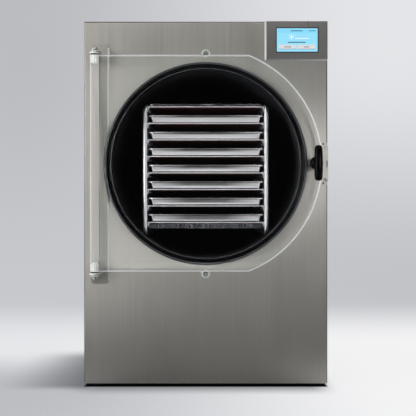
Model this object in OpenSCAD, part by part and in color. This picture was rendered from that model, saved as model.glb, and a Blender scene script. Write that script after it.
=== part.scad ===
// Freeze dryer: a rack of heated shelves in a refrigerated vacuum chamber, behind a clear hinged door.
// Millimetres, +Z up. The origin is the middle of the machine's footprint, on the floor.
// Modules are written with y = 0 on the outer face of the front panel and +y towards the back;
// place() then moves them so that the origin is in the middle, front to back.
// The cabinet is drawn round the chamber: its width, depth and height follow from what it holds.

/* [Cabinet] */
// Width of the front panel on each side of the chamber's flange
side_gap = 18; // [10:1:40]
// Height of the front panel above the flange
top_gap = 71; // [66:1:110]
// Space between the chamber's domed end and the back of the cabinet
rear_gap = 49; // [40:1:90]
// Space between the condenser and the insulated chamber above it
machine_gap = 32; // [28:1:80]
// Height of the rubber feet below the cabinet's lower edge
foot_h = 9; // [6:1:20]
// Radius of a rubber foot
foot_r = 24; // [18:1:26]
// Distance of a foot's middle from the cabinet's sides
foot_in = 34; // [30:1:60]
// Thickness of the cabinet's sheet
sheet_t = 1.5; // [1:0.25:2]
// Outside radius of the sheet's bends
bend_r = 4; // [3:0.5:6]
// Depth of the panels' turned-back edges
return_d = 16; // [12:1:20]
// Thickness of the base pan's sheet
pan_t = 2; // [1.5:0.25:3]
// Height of the base pan's upstands
upstand_h = 25; // [15:1:40]
// Width of a cooling slot in the cover's sides
vent_len = 70; // [50:5:75]
// Height of a cooling slot
vent_h = 6; // [4:0.5:8]
// Spacing of the cooling slots
vent_pitch = 16; // [14:1:20]
// Half the width of the sheet saddles under the chamber
cradle_half = 150; // [120:5:170]
// Thickness of the saddles
cradle_t = 2; // [1.5:0.25:3]

/* [Chamber] */
// Inside radius of the vacuum chamber
chamber_r = 238; // [215:1:262]
// Wall of the chamber
chamber_wall = 3; // [2:0.5:4]
// Straight length of the chamber
chamber_len = 606; // [545:1:670]
// How far the chamber's end is domed
dish_depth = 40; // [30:1:48]
// How far the chamber's rim stands out of the front panel
rim_out = 8; // [4:1:12]
// Width of the chamber's mounting flange
flange_w = 54; // [50:1:60]
// Thickness of the mounting flange
flange_t = 4; // [3:0.5:6]
// Wall of the foam insulation
foam_t = 12; // [8:1:20]
// Turns of the evaporator coil
coil_turns = 9; // [5:1:10]
// Height of the coil's D-shaped tube
coil_h = 8; // [6:0.5:10]
// Outside radius of the vacuum stub at the rear
vac_r = 13; // [11:0.5:15]
// How far the vacuum stub stands out of the rear panel
vac_out = 40; // [30:1:45]
// Outside radius of the drain stub and pipe
drain_r = 7; // [6:0.5:9]

/* [Door] */
// Thickness of the clear door
door_t = 25; // [20:1:30]
// Bevel round the door's faces
door_bevel = 1.5; // [0.5:0.25:3]
// How far the door's round side reaches past the gasket
door_side = 36; // [34:0.5:40]
// How far the door reaches past the gasket above and below
door_top = 15; // [12:0.5:16]
// How far the door's straight side reaches past the gasket
door_hinge_side = 32.5; // [30:0.5:36]
// Distance of the hinge pins from the door's straight edge
hinge_in = 10.5; // [9.5:0.5:12]
// Radius of a hinge pin
pin_r = 4; // [3:0.5:5]
// Depth of a hinge bushing in the door
bushing_len = 22; // [16:1:30]
// Outside radius of a hinge bushing
bushing_r = 7; // [6.5:0.5:8]
// Height of the gasket in front of the panel
gasket_stand = 22; // [20:1:24]
// Width of the gasket's ring
gasket_w = 18; // [16:0.5:19]

/* [Hinge bracket] */
// Thickness of the bracket's plate
plate_t = 3; // [2:0.5:4]
// How far the bracket's plate reaches beyond its ears
plate_over = 27; // [20:1:34]
// Distance of the plate's inner edge from the hinge pins
plate_in = 29; // [26:1:33]
// Width of the bracket's upright strip
plate_web = 19.6; // [16:0.2:24]
// Width of the bowed part that goes round the gasket
bow_w = 16.5; // [14:0.5:20]
// Gap between the bracket's bow and the gasket
bow_gap = 5; // [3:0.5:6]
// Gap between the door's edge and the bracket's ear
ear_gap = 7; // [6.5:0.5:10]
// Radius of an ear's round end
ear_r = 13; // [11:0.5:14]

/* [Latch] */
// Distance of the handle's shaft from the door's round edge
handle_in = 15; // [13:0.5:17]
// Length of the handle's cross bar
bar_len = 86; // [70:1:110]
// Width of the cross bar
bar_w = 19.5; // [16:0.5:24]
// Thickness of the cross bar, front to back
bar_t = 17; // [12:0.5:20]
// How far the handle stands out of the door
handle_out = 60; // [48:1:75]
// Radius of the domed collar under the handle
collar_r = 15.5; // [13:0.5:18]
// Radius of the latch shaft
shaft_r = 6; // [5:0.5:7]
// Reach of the latch cam from the shaft
cam_reach = 18; // [16:0.5:19]
// Thickness of the latch cam
cam_t = 4; // [3:0.5:5]
// Height of the keeper
keeper_h = 106; // [80:1:120]
// Width of the keeper's lip
keeper_w = 22; // [18:0.5:24]
// Thickness of the keeper's plate
keeper_t = 3; // [2:0.5:4]
// Radius of the round studs above and below the door
stud_r = 10.5; // [8:0.5:12]
// How far the round studs stand out of the panel
stud_out = 16; // [10:1:18]

/* [Rack] */
// Number of heated shelves
shelf_count = 8; // [6:1:8]
// Height of one shelf above the next
shelf_pitch = 42.4; // [40:0.2:43]
// Distance of the lowest shelf's top below the chamber's axis
rack_low = 148; // [144:1:152]
// Thickness of a shelf
shelf_t = 2; // [1.5:0.25:2.5]
// Height of a shelf's turned-down sides
shelf_lip = 13; // [12:0.5:15]
// Space between the rack's sides and the chamber's wall
rack_side_gap = 86.5; // [84:0.5:92]
// Space between the rack and the chamber's domed end
rack_rear_gap = 12; // [6:1:40]
// Distance of the rack behind the front panel
rack_y = 30; // [22:1:34]
// Thickness of the rack's side plates
rack_t = 1.5; // [1:0.25:2]
// Width of the side plates' front flange
rack_flange = 9.8; // [6:0.2:11]
// Thickness of a heater mat
mat_t = 1.2; // [0.8:0.1:2]
// Distance of the foil blankets' edges from the shelves' edges
foil_in = 4.7; // [3:0.1:10]
// Thickness of the foil blanket on the rack
top_foil_t = 8; // [5:0.5:10]
// Thickness of the foil blanket under the rack
low_foil_t = 14.5; // [10:0.5:18]

/* [Trays] */
// Space between a tray's rim and the shelf's turned-down sides
tray_gap = 2.7; // [1:0.1:6]
// Distance of a tray's ends from the shelf's ends
tray_in = 4; // [2:1:15]
// Height of a tray
tray_h = 20; // [15:1:22]
// Sheet of a tray
tray_t = 1; // [0.8:0.1:1.5]
// Width of a tray's rim
tray_rim = 6; // [4:0.5:8]
// How far the rim's edge is turned down
tray_lip = 3.5; // [2:0.5:5]
// How far a tray's walls slope inwards
tray_draft = 4.5; // [2:0.5:8]

/* [Control panel] */
// Width of the control cover
pod_w = 160; // [150:1:175]
// Height of the control cover
pod_h = 100; // [96:1:105]
// Bevel round the control cover, which also stands it proud
pod_bevel = 5; // [3:0.5:7]
// Width of the touch screen
screen_w = 103.5; // [90:0.5:110]
// Height of the touch screen
screen_h = 59.3; // [50:0.1:62]
// Black frame that shows round the screen
frame_w = 2.4; // [1.5:0.1:4]
// Distance of the screen's right edge from the cabinet's side
screen_side = 26; // [24:0.5:28]
// Distance of the screen's top from the cabinet's top
screen_top = 18.6; // [16:0.2:20]
// How far the control board reaches past the screen, sideways
board_over = 19; // [12:1:24]

/* [Refrigeration] */
// Radius of the compressor's can
comp_r = 82; // [70:1:88]
// Height of the compressor's can
comp_h = 205; // [180:1:225]
// Width of the condenser
cond_w = 300; // [270:5:330]
// Height of the condenser
cond_h = 245; // [220:1:270]
// Depth of the condenser
cond_d = 44; // [36:1:50]
// Height of the block under the condenser
cond_foot = 14; // [8:1:20]
// Rows of the condenser's tube
cond_rows = 6; // [5:1:7]
// Number of condenser fins
fin_count = 22; // [14:1:24]
// Distance of the condenser behind the front panel
cond_y = 150; // [120:5:170]
// Width of the shroud's plate outside the fan's ring
fan_margin = 10.5; // [9:0.5:20]
// Blades on the condenser fan
fan_blades_n = 5; // [4:1:7]
// Radius of the fan's hub
hub_r = 26; // [22:1:32]
// Length of the fan's hub
hub_l = 20; // [16:1:26]
// Width of a fan blade where it leaves the hub
blade_root = 21; // [15:1:26]
// Width of a fan blade at its tip
blade_tip = 62; // [45:1:70]
// Radius of the fan motor's shaft
fan_shaft_r = 4; // [3:0.5:5]
// Radius of the fan motor
motor_r = 24; // [20:1:28]
// Length of the fan motor
motor_len = 46; // [40:1:60]
// Radius of the refrigerant tubes
line_r = 4; // [3:0.5:5]

/* [Rear fittings] */
// Height of the drain valve above the base pan
valve_up = 136; // [120:5:160]
// How far the drain valve stands out of the rear panel
valve_len = 56; // [50:1:65]
// Radius of the drain valve's stem
valve_stem = 3; // [2.5:0.5:4]
// Length of the drain valve's lever
lever_len = 46; // [36:1:52]
// Distance of the mains inlet's middle from the cabinet's side
inlet_side = 120; // [100:5:160]
// Distance of the pump's outlet from the mains inlet, middle to middle
outlet_gap = 80; // [75:5:110]
// Height of the mains inlet above the base pan
inlet_up = 109; // [80:1:150]
// Width of the rocker switch
rocker_w = 20; // [16:1:24]
// Height of the rocker switch
rocker_h = 16; // [14:1:18]
// Angle of the rocker switch at rest
rocker_tilt = 8; // [5:1:9]

/* [Hidden] */
$fn = 96;

// Clearances and small fixed sizes
fit = 0.3;          // pieces that are slipped together
pin_fit = 0.05;     // turning pins and shafts
seal_gap = 0.3;     // door to gasket
over = 1;           // how far a cut runs past a face
stub_wall = 1.5;    // vacuum stub
drain_wall = 1.5;   // drain pipe
bolt_r = 4;         // flange bolts
nut_r = 7.5;
nut_h = 6;
port_r = 8;         // ports in the chamber's domed end
port_x = 70;
screw_r = 1.8;      // rack screws
screw_in = 60;
foot_d = 14;        // compressor's feet
fan_gap = 4;        // fan to its ring
ring_t = 2;         // fan's ring and shroud
ring_l = 62;
coil_sides = 32;
coil_play = 2;      // room for the coil under the insulation
cut_len = 1000;     // longer than any piece

// Colours
stainless = [0.62, 0.61, 0.59];
dark_steel = [0.42, 0.41, 0.40];
bright_steel = [0.78, 0.78, 0.80];
black = [0.05, 0.05, 0.06];
copper = [0.72, 0.43, 0.28];

// Chamber, from its wall outwards
chamber_out = chamber_r + chamber_wall;
tube_end = chamber_len - rim_out;
dish_r = (pow(chamber_r, 2) + pow(dish_depth, 2)) / (2 * dish_depth);
dish_y = tube_end + dish_depth - dish_r;
dish_back = tube_end + dish_depth + chamber_wall;
coil_in = chamber_out / cos(180 / coil_sides) + fit;
foam_in = chamber_out + coil_h + coil_play;
foam_r = foam_in + foam_t;
flange_r = chamber_r + flange_w;
flange_back = sheet_t + flange_t;
flange_bolt_r = flange_r - 13;
bolt_end = flange_back + nut_h + 3;
gasket_in = chamber_r + fit;
gasket_r = chamber_r + gasket_w;
drain_y = tube_end - 40;
port_y = dish_y + sqrt(pow(dish_r, 2) - pow(port_x, 2));

// Heights, from the floor upwards
pan_top = foot_h + pan_t;
comp_top = pan_top + foot_d + comp_h;
cond_low = pan_top + cond_foot;
cond_top = cond_low + cond_h + 2;
suction_z = comp_top + 32;
machine_top = max(cond_top, suction_z + line_r + 2);
chamber_z = machine_top + machine_gap + foam_r;
cab_top = chamber_z + flange_r + top_gap;
valve_z = pan_top + valve_up;
inlet_z = pan_top + inlet_up;

// The cabinet
cab_w = 2 * (flange_r + side_gap);
cab_d = dish_back + rear_gap;
cab_h = cab_top - foot_h;
inlet_x = cab_w / 2 - inlet_side;
outlet_x = inlet_x - outlet_gap;

// Door and hinge
door_r = gasket_r + door_side;
door_half_h = gasket_r + door_top;
door_left = gasket_r + door_hinge_side;
hinge_x = door_left - hinge_in;
handle_x = door_r - handle_in;
ear_z = door_half_h + ear_gap;
plate_half_h = ear_z + plate_over;
plate_right = hinge_x - plate_in;
bow_in = gasket_r + bow_gap;

// Places along the depth, from the front panel's face
door_back = -gasket_stand;
door_front = door_back - door_t;
door_mid = door_back - door_t / 2;
handle_front = door_front - handle_out;
rear_out = max(vac_out, valve_len);
y_shift = -(handle_front + cab_d + rear_out) / 2;
keeper_front = door_back + 2;
cam_front = keeper_front + keeper_t + 1;
keeper_left = handle_x + shaft_r + 4;
keeper_right = keeper_left + keeper_w;

// Rack
rack_half = chamber_r - rack_side_gap;
shelf_half = rack_half - rack_t - fit;
shelf_len = tube_end - rack_y - rack_rear_gap;
rack_back = rack_y + shelf_len;
shelf_z = chamber_z - rack_low;
shelf_top_z = shelf_z + (shelf_count - 1) * shelf_pitch;
leg_bottom = chamber_z - sqrt(pow(chamber_r - fit, 2) - pow(rack_half, 2));
rack_shoulder = shelf_top_z - 6;
flange_trim = chamber_r - 3;
screw_y = [rack_y + screw_in, rack_back - screw_in];
screw_drop = shelf_t + shelf_lip / 2;
foil_half = shelf_half - foil_in;
tray_w = 2 * (shelf_half - tray_gap);
tray_len = shelf_len - 2 * tray_in;

// Screen
screen_x = cab_w / 2 - screen_side - screen_w / 2;
screen_z = cab_top - screen_top - screen_h / 2;
pod_front = -pod_bevel;
frame_out = 1.5;    // how far the frame stands out of the cover
screen_out = 0.6;
frame_d = 18;
screen_d = 14;
board_y = 22;

// Under the chamber
fan_r = min(cond_w, cond_h) / 2 - fan_margin;
fan_z = cond_low + cond_h / 2;
fan_y = cond_y + cond_w / 2;
cond_x = -cab_w / 2 + sheet_t + 8;
shroud_x = cond_x + cond_d;
blade_x = shroud_x + 16;    // fan's hub
motor_x = shroud_x + 38;
comp_x = 75;
comp_y = fan_y + 20;
line_y = cond_y - 38;
liquid_x = -120;
liquid_top = chamber_z - sqrt(pow(foam_r, 2) - pow(liquid_x, 2)) + 5;
stem_y = 22;        // drain valve's stem, behind the rear panel
valve_body = 38;
fitting_d = 24;     // mains inlet and pump outlet
socket_d = 14;
rocker_pin = 2;
rocker_y = cab_d - 5;
rocker_z = inlet_z + 16;
cradle_in = 50;     // front saddle, behind the front panel
cradle_back = 100;  // rear saddle, ahead of the chamber's end
cradle_foot = 22;
cradle_top = chamber_z - foam_r * 0.8;

module place() { translate([0, y_shift, 0]) children(); }
// Extrudes an x-z outline from y towards the back
module slab(y, t) { translate([0, y + t, 0]) rotate([90, 0, 0]) linear_extrude(t) children(); }
// Extrudes a y-z outline from x towards the right
module along_x(x, t) { translate([x, 0, 0]) rotate([90, 0, 90]) linear_extrude(t) children(); }
// Turns a radius-depth outline about an axis that runs front to back
module turned(x, z) { translate([x, 0, z]) rotate([-90, 0, 0]) rotate_extrude() children(); }
// Round bar from y0 to y1
module bar(x, z, y0, y1, r) { translate([x, y0, z]) rotate([-90, 0, 0]) cylinder(h = y1 - y0, r = r); }
module box(lo, hi) { translate(lo) cube(hi - lo); }

// Rectangle with round corners
module rounded_2d(lo, hi, r) {
    translate([lo.x + r, lo.y]) square([hi.x - lo.x - 2 * r, hi.y - lo.y]);
    translate([lo.x, lo.y + r]) square([hi.x - lo.x, hi.y - lo.y - 2 * r]);
    for (x = [lo.x + r, hi.x - r]) for (y = [lo.y + r, hi.y - r]) translate([x, y]) circle(r);
}

// Bends of a folded panel: round at the front, square at the back
module bend_2d(w, d, r) {
    translate([r, 0]) square([w - 2 * r, d]);
    translate([0, r]) square([w, d - r]);
    for (x = [r, w - r]) translate([x, r]) circle(r);
}
module panel_block(w, h, d, r) {
    intersection() {
        translate([-w / 2, 0, 0]) linear_extrude(h) bend_2d(w, d, r);
        along_x(-w / 2, w) mirror([1, -1, 0]) bend_2d(h, d, r);
    }
}

// Slotted hole, w long and h high
module slot_2d(w, h) {
    square([w - h, h], center = true);
    for (s = [-1, 1]) translate([s * (w - h) / 2, 0]) circle(h / 2, $fn = 24);
}

// Tube laid along points: straight lengths, with a ball at each corner, fuller than the tube by bead
module pipe(points, r, bead = 0.4) {
    for (i = [0:len(points) - 2]) {
        step = points[i + 1] - points[i];
        lean = acos(step.z / norm(step));
        turn = atan2(step.y, step.x);
        translate(points[i]) rotate([0, lean, turn]) cylinder(h = norm(step), r = r, $fn = 24);
    }
    for (i = [1:1:len(points) - 2]) translate(points[i]) sphere(r + bead, $fn = 24);
}

// ---- Cabinet ----

module base_pan() {
    half = cab_w / 2 - sheet_t - fit;
    front = return_d + fit;
    back = cab_d - sheet_t - return_d;
    color(dark_steel) place() {
        box([-half, front, foot_h], [half, back, pan_top]);
        for (s = [-1, 1])
            translate([s * (half - pan_t / 2) - pan_t / 2, front, foot_h])
                cube([pan_t, back - front, upstand_h]);
        for (y = [front, back - pan_t])
            box([-half, y, foot_h], [half, y + pan_t, foot_h + upstand_h]);
    }
}

module feet() {
    color(black) place()
        for (x = [-1, 1]) for (y = [foot_in + return_d, cab_d - return_d - foot_in])
            translate([x * (cab_w / 2 - foot_in), y, 0]) {
                cylinder(h = foot_h, r1 = foot_r - 2, r2 = foot_r);
            }
}

module front_panel() {
    color(stainless) place() difference() {
        union() {
            translate([0, 0, foot_h]) difference() {
                panel_block(cab_w, cab_h, return_d, bend_r);
                translate([0, sheet_t, sheet_t])
                    panel_block(cab_w - 2 * sheet_t, cab_h - 2 * sheet_t, return_d, bend_r - sheet_t);
            }
            for (i = [0:7]) if (i != 2 && i != 6)
                bar(flange_bolt_r * cos(45 * i), chamber_z + flange_bolt_r * sin(45 * i),
                    sheet_t / 2, bolt_end, bolt_r);
        }
        bar(0, chamber_z, -over, return_d, chamber_out + fit);
        for (s = [-1, 1]) bar(0, chamber_z + s * flange_bolt_r, -over, return_d, bolt_r + fit);
        slab(-over, return_d) frame_2d(fit);
    }
}

// The cover's outline, or the space inside it, with round upper corners
module wrap_2d(inset) {
    translate([inset - cab_w / 2, cab_top - inset]) mirror([0, 1])
        bend_2d(cab_w - 2 * inset, cab_h, bend_r - inset);
}

module cabinet_cover() {
    front = return_d + fit;
    long = cab_d - front;
    column_gap = 14;
    first_row = pan_top + upstand_h + 12;
    rows = floor((cond_top - first_row) / vent_pitch) - 1;
    color(stainless) place() difference() {
        slab(front, long) wrap_2d(0);
        slab(front - over, long + 2 * over) wrap_2d(sheet_t);
        for (column = [-1:1]) for (row = [0:rows - 1])
            along_x(-cab_w, 2 * cab_w)
                translate([fan_y + column * (vent_len + column_gap), first_row + row * vent_pitch])
                    slot_2d(vent_len, vent_h);
    }
}

module rear_panel() {
    inset = sheet_t + fit;
    hole_d = 5;
    slot_rows = 10;
    slot_in = 120;
    slot_drop = 60;
    color(stainless) place() difference() {
        intersection() {
            slab(cab_d - return_d, return_d) wrap_2d(inset);
            box([-cab_w, 0, foot_h], [cab_w, cab_d, cab_top]);
        }
        intersection() {
            slab(cab_d - return_d - over, return_d - sheet_t + over) wrap_2d(inset + sheet_t);
            box([-cab_w, 0, foot_h + sheet_t], [cab_w, cab_d, cab_top]);
        }
        bar(0, chamber_z, cab_d - hole_d, cab_d + over, vac_r + 1 + fit);
        bar(0, valve_z, cab_d - hole_d, cab_d + over, drain_r + 1);
        slab(cab_d - hole_d, 2 * hole_d) inlet_2d(inlet_x, fit);
        slab(cab_d - hole_d, 2 * hole_d) outlet_2d(outlet_x, fit);
        for (side = [-1, 1]) for (row = [0:slot_rows - 1])
            slab(cab_d - hole_d, 2 * hole_d)
                translate([side * (cab_w / 2 - slot_in), cab_top - slot_drop - row * vent_pitch])
                    slot_2d(vent_len * 2, vent_h);
    }
}

// Sheet saddle that carries the insulated chamber on the base pan
module cradle(y) {
    rim = 25;
    seat_r = foam_r + fit;
    color(dark_steel) place() {
        slab(y, cradle_t) difference() {
            cradle_area_2d();
            translate([0, chamber_z]) circle(seat_r);
            rounded_2d([rim - cradle_half, pan_top + rim], [cradle_half - rim, chamber_z - foam_r - rim], 15);
        }
        box([-cradle_half, y, pan_top], [cradle_half, y + cradle_foot, pan_top + cradle_t]);
        slab(y, cradle_foot) intersection() {
            translate([0, chamber_z]) difference() {
                circle(seat_r + cradle_t);
                circle(seat_r);
            }
            cradle_area_2d();
        }
    }
}
module cradle_area_2d() {
    translate([-cradle_half, pan_top]) square([2 * cradle_half, cradle_top - pan_top]);
}
module front_cradle() { cradle(cradle_in); }
module rear_cradle() { cradle(tube_end - cradle_back); }

// ---- Control panel ----

// Section of the cover: bevelled towards the panel's middle, round at the cabinet's edge
module pod_2d(w, back, b, r) {
    polygon([[0, back], [0, 0], [b, -b], [w - r, -b], [w - r, back]]);
    intersection() {
        translate([w - r, r - b]) circle(r);
        translate([w - r, -b]) square([r, b + back]);
    }
    if (r < b + back) translate([w - r, r - b]) square([r, b + back - r]);
}
module pod_block(w, h, back, b, r) {
    intersection() {
        linear_extrude(h) pod_2d(w, back, b, r);
        along_x(0, w) mirror([1, -1, 0]) pod_2d(h, back, b, r);
    }
}
module frame_2d(gap) {
    w = screen_w + 2 * (frame_w + gap);
    h = screen_h + 2 * (frame_w + gap);
    translate([screen_x, screen_z]) square([w, h], center = true);
}

module control_cover() {
    r = min(bend_r, pod_bevel) - 0.5;
    color(stainless) place() difference() {
        translate([cab_w / 2 - pod_w, 0, cab_top - pod_h]) difference() {
            pod_block(pod_w, pod_h, 0, pod_bevel, r);
            translate([sheet_t, 0, sheet_t])
                pod_block(pod_w - 2 * sheet_t, pod_h - 2 * sheet_t, over, pod_bevel - sheet_t, r - sheet_t);
        }
        slab(pod_front - over, pod_bevel + 2 * over) frame_2d(fit);
    }
}

module screen_frame() {
    lip = 6;
    lip_t = 2;
    color(black) place() difference() {
        union() {
            slab(pod_front - frame_out, frame_d) frame_2d(0);
            slab(sheet_t + fit, lip_t) frame_2d(lip);
        }
        slab(pod_front - frame_out - over, frame_d + 2 * over)
            translate([screen_x, screen_z]) square([screen_w, screen_h], center = true);
    }
}

module touch_screen() {
    color([0.6, 0.89, 0.99]) place() slab(pod_front - screen_out, screen_d) translate([screen_x, screen_z])
        square([screen_w - 2 * pin_fit, screen_h - 2 * pin_fit], center = true);
}

// Circuit board on four pillars, with relays, a connector and a heat sink
module control_board() {
    w = screen_w + 2 * board_over;
    h = screen_h + 7;
    board_t = 1.6;
    pillar_r = 3;
    pillar_in = 5;
    relay = [15, 15, 28];
    relay_pitch = 20;
    plug = [40, 10, 14];
    sink = [22, 20, 44];
    color([0.1, 0.35, 0.2]) place() translate([screen_x, board_y, screen_z]) {
        box([-w / 2, 0, -h / 2], [w / 2, board_t, h / 2]);
        for (x = [pillar_in - w / 2, w / 2 - pillar_in]) for (z = [pillar_in - h / 2, h / 2 - pillar_in])
            bar(x, z, sheet_t - board_y, 0, pillar_r);
        for (i = [0:3]) translate([14 - w / 2 + relay_pitch * i, board_t, 8 - h / 2]) cube(relay);
        translate([relay_pitch - w / 2, board_t, h / 2 - 9 - plug.z]) cube(plug);
        translate([w / 2 - 12 - sink.x, board_t, 2 - sink.z / 2]) cube(sink);
    }
}

// ---- Chamber ----

module vacuum_chamber() {
    stub_in = vac_r - stub_wall;
    collar = 4;
    color(bright_steel) place() difference() {
        turned(0, chamber_z) {
            translate([chamber_r, -rim_out]) square([chamber_wall, chamber_len]);
            translate([chamber_r, sheet_t]) square([flange_r - chamber_r, flange_t]);
            intersection() {
                translate([0, dish_y]) difference() {
                    circle(dish_r + chamber_wall);
                    circle(dish_r);
                }
                translate([stub_in, tube_end]) square([chamber_out - stub_in, dish_depth * 2]);
            }
            translate([stub_in, dish_back - chamber_wall])
                square([stub_wall + 1, cab_d + 5 - dish_back + chamber_wall]);
            translate([stub_in, cab_d + 2]) square([stub_wall + collar, 3]);
            translate([stub_in, cab_d]) square([stub_wall, vac_out]);
        }
        for (i = [0:7])
            bar(flange_bolt_r * cos(45 * i), chamber_z + flange_bolt_r * sin(45 * i),
                0, flange_back + over, bolt_r + fit);
        for (s = [-1, 1]) bar(s * port_x, chamber_z, tube_end, dish_back + over, port_r + pin_fit);
        translate([0, drain_y, chamber_z - chamber_out - over])
            cylinder(h = chamber_wall + 2 * over + 2, r = drain_r + pin_fit);
    }
}

// Ring that is pushed on to the chamber's rim, with a round bead for the door and a pull tab
module door_gasket() {
    front = door_back + seal_gap;
    inner_bead = 3;
    outer_bead = 6;
    tab = 5;
    tab_h = 34;
    color(black) place() {
        turned(0, chamber_z) {
            translate([chamber_out + fit, -rim_out - 1])
                square([gasket_r - chamber_out - fit, rim_out + 1 - pin_fit]);
            translate([gasket_in, front + outer_bead])
                square([gasket_w - fit, -front - outer_bead - rim_out - fit]);
            translate([gasket_in, front + inner_bead]) square([2 * inner_bead, outer_bead]);
            translate([gasket_in + inner_bead, front + inner_bead]) circle(inner_bead, $fn = 32);
            translate([gasket_r - outer_bead, front + outer_bead]) circle(outer_bead, $fn = 48);
        }
        intersection() {
            turned(0, chamber_z) translate([gasket_r - 4, -rim_out - 1]) square([tab + 4, rim_out - 1]);
            translate([0, -cut_len, chamber_z - tab_h / 2]) cube([cut_len, cut_len, tab_h]);
        }
    }
}

// One ring of points across the coil's D-shaped tube
function coil_ring(a, y) =
    [for (p = [[0, -4.5], [0, 4.5], [0.55, 4.2], [1, 2], [1, -2], [0.55, -4.2]])
        [(coil_in + p[0] * coil_h) * cos(a), y + p[1], chamber_z + (coil_in + p[0] * coil_h) * sin(a)]];

module evaporator_coil() {
    steps = coil_turns * coil_sides;
    start = 40;
    rise = tube_end - 90;
    rings = [for (i = [0:steps]) coil_ring(-60 + 360 * i / coil_sides, start + rise * i / steps)];
    n = 6;
    color(copper) place() polyhedron(
        points = [for (ring = rings) for (p = ring) p],
        faces = concat(
            [[for (k = [0:n - 1]) n - 1 - k]],
            [for (i = [0:steps - 1]) for (k = [0:n - 1]) for (half = [0, 1])
                half == 0 ? [i * n + k, i * n + (k + 1) % n, (i + 1) * n + k]
                          : [i * n + (k + 1) % n, (i + 1) * n + (k + 1) % n, (i + 1) * n + k]],
            [[for (k = [0:n - 1]) steps * n + k]]));
}

module chamber_insulation() {
    low = chamber_z - foam_r - over;
    through = foam_t + coil_h + 2 * over;
    color([0.85, 0.82, 0.7]) place() difference() {
        turned(0, chamber_z) translate([foam_in, flange_back + fit])
            square([foam_t, tube_end - flange_back - 10]);
        translate([0, drain_y, low]) cylinder(h = through, r = drain_r + 3);
        translate([0, line_y, low]) cylinder(h = through, r = line_r + 4);
        translate([liquid_x, line_y, liquid_top - 15]) cylinder(h = through + 10, r = line_r + 3);
    }
}

// Gauge in the left-hand port of the domed end
module vacuum_sensor() {
    color(dark_steel) place() {
        bar(-port_x, chamber_z, port_y - 4, port_y + 12, port_r);
        bar(-port_x, chamber_z, port_y + 6, port_y + 34, 14);
    }
}

// Feed-through for the heaters' supply in the right-hand port
module heater_plug() {
    color(black) place() {
        bar(port_x, chamber_z, port_y - 8, port_y + 12, port_r);
        bar(port_x, chamber_z, port_y + 6, port_y + 14, 13);
        bar(port_x, chamber_z, port_y + 14, port_y + 32, 10);
    }
}

// ---- Door ----

// Rectangle whose corners are bevelled, b wide
module bevelled_2d(lo, hi, b) {
    polygon([[lo.x + b, lo.y], [hi.x - b, lo.y], [hi.x, lo.y + b], [hi.x, hi.y - b],
             [hi.x - b, hi.y], [lo.x + b, hi.y], [lo.x, hi.y - b], [lo.x, lo.y + b]]);
}

// D-shaped slab: round at the latch, straight at the hinge, cut flat above and below
module door_block() {
    intersection() {
        union() {
            turned(0, chamber_z) {
                bevelled_2d([0, door_front], [door_r, door_back], door_bevel);
                translate([0, door_front]) square([door_bevel, door_t]);
            }
            box([-door_left, door_front, chamber_z - door_half_h], [0, door_back, chamber_z + door_half_h]);
        }
        translate([0, 0, chamber_z - door_half_h]) linear_extrude(2 * door_half_h)
            bevelled_2d([-door_left, door_front], [door_r + door_bevel, door_back], door_bevel);
        along_x(-cut_len, 2 * cut_len) translate([0, chamber_z])
            bevelled_2d([door_front, -door_half_h], [door_back, door_half_h], door_bevel);
    }
}

module door_panel() {
    color([0.85, 0.9, 0.92, 0.35]) place() difference() {
        door_block();
        bar(handle_x, chamber_z, door_front - over, door_back + over, shaft_r + pin_fit);
        for (s = [0, 1]) translate([-hinge_x, door_mid, chamber_z]) mirror([0, 0, s])
            translate([0, 0, door_half_h - bushing_len])
                cylinder(h = bushing_len + over, r = bushing_r + pin_fit);
    }
}

// Plate that goes round the gasket, cut back between the ears so that the door can swing
module bracket_2d() {
    difference() {
        union() {
            difference() {
                rounded_2d([-hinge_x - ear_r, -plate_half_h], [-plate_right, plate_half_h], 8);
                translate([-cut_len, -ear_z]) square([cut_len - plate_right - plate_web, 2 * ear_z]);
            }
            intersection() {
                circle(bow_in + bow_w);
                translate([-cut_len, -ear_z]) square([cut_len - plate_right, 2 * ear_z]);
            }
        }
        circle(bow_in);
    }
}

module hinge_bracket() {
    color(dark_steel) place() {
        slab(-plate_t, plate_t) translate([0, chamber_z]) bracket_2d();
        for (s = [0, 1]) translate([-hinge_x, 0, chamber_z]) mirror([0, 0, s]) difference() {
            union() {
                translate([-ear_r, door_mid, ear_z]) cube([2 * ear_r, -door_mid - plate_t / 2, plate_t]);
                translate([0, door_mid, ear_z]) cylinder(h = plate_t, r = ear_r);
            }
            translate([0, door_mid, ear_z - over]) cylinder(h = plate_t + 2 * over, r = pin_r + pin_fit);
        }
    }
}

module hinge_pins() {
    hex_h = 7;
    color(bright_steel) place()
        for (s = [0, 1]) translate([-hinge_x, door_mid, chamber_z]) mirror([0, 0, s]) {
            translate([0, 0, door_half_h - bushing_len + 2])
                cylinder(h = ear_z + plate_t - door_half_h + bushing_len - 1, r = pin_r);
            translate([0, 0, ear_z + plate_t]) cylinder(h = hex_h, r = nut_r, $fn = 6);
            translate([0, 0, ear_z + plate_t + hex_h]) intersection() {
                sphere(nut_r - 1.2, $fn = 48);
                cylinder(h = nut_r, r = nut_r);
            }
        }
}

module hinge_bushings() {
    lip = 2;
    color(bright_steel) place()
        for (s = [0, 1]) translate([-hinge_x, door_mid, chamber_z]) mirror([0, 0, s]) difference() {
            union() {
                translate([0, 0, door_half_h - bushing_len]) cylinder(h = bushing_len, r = bushing_r);
                translate([0, 0, door_half_h]) cylinder(h = lip, r = bushing_r + 2.5);
            }
            translate([0, 0, door_half_h - bushing_len + 1])
                cylinder(h = bushing_len + lip, r = pin_r + pin_fit);
        }
}

// ---- Latch ----

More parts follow.
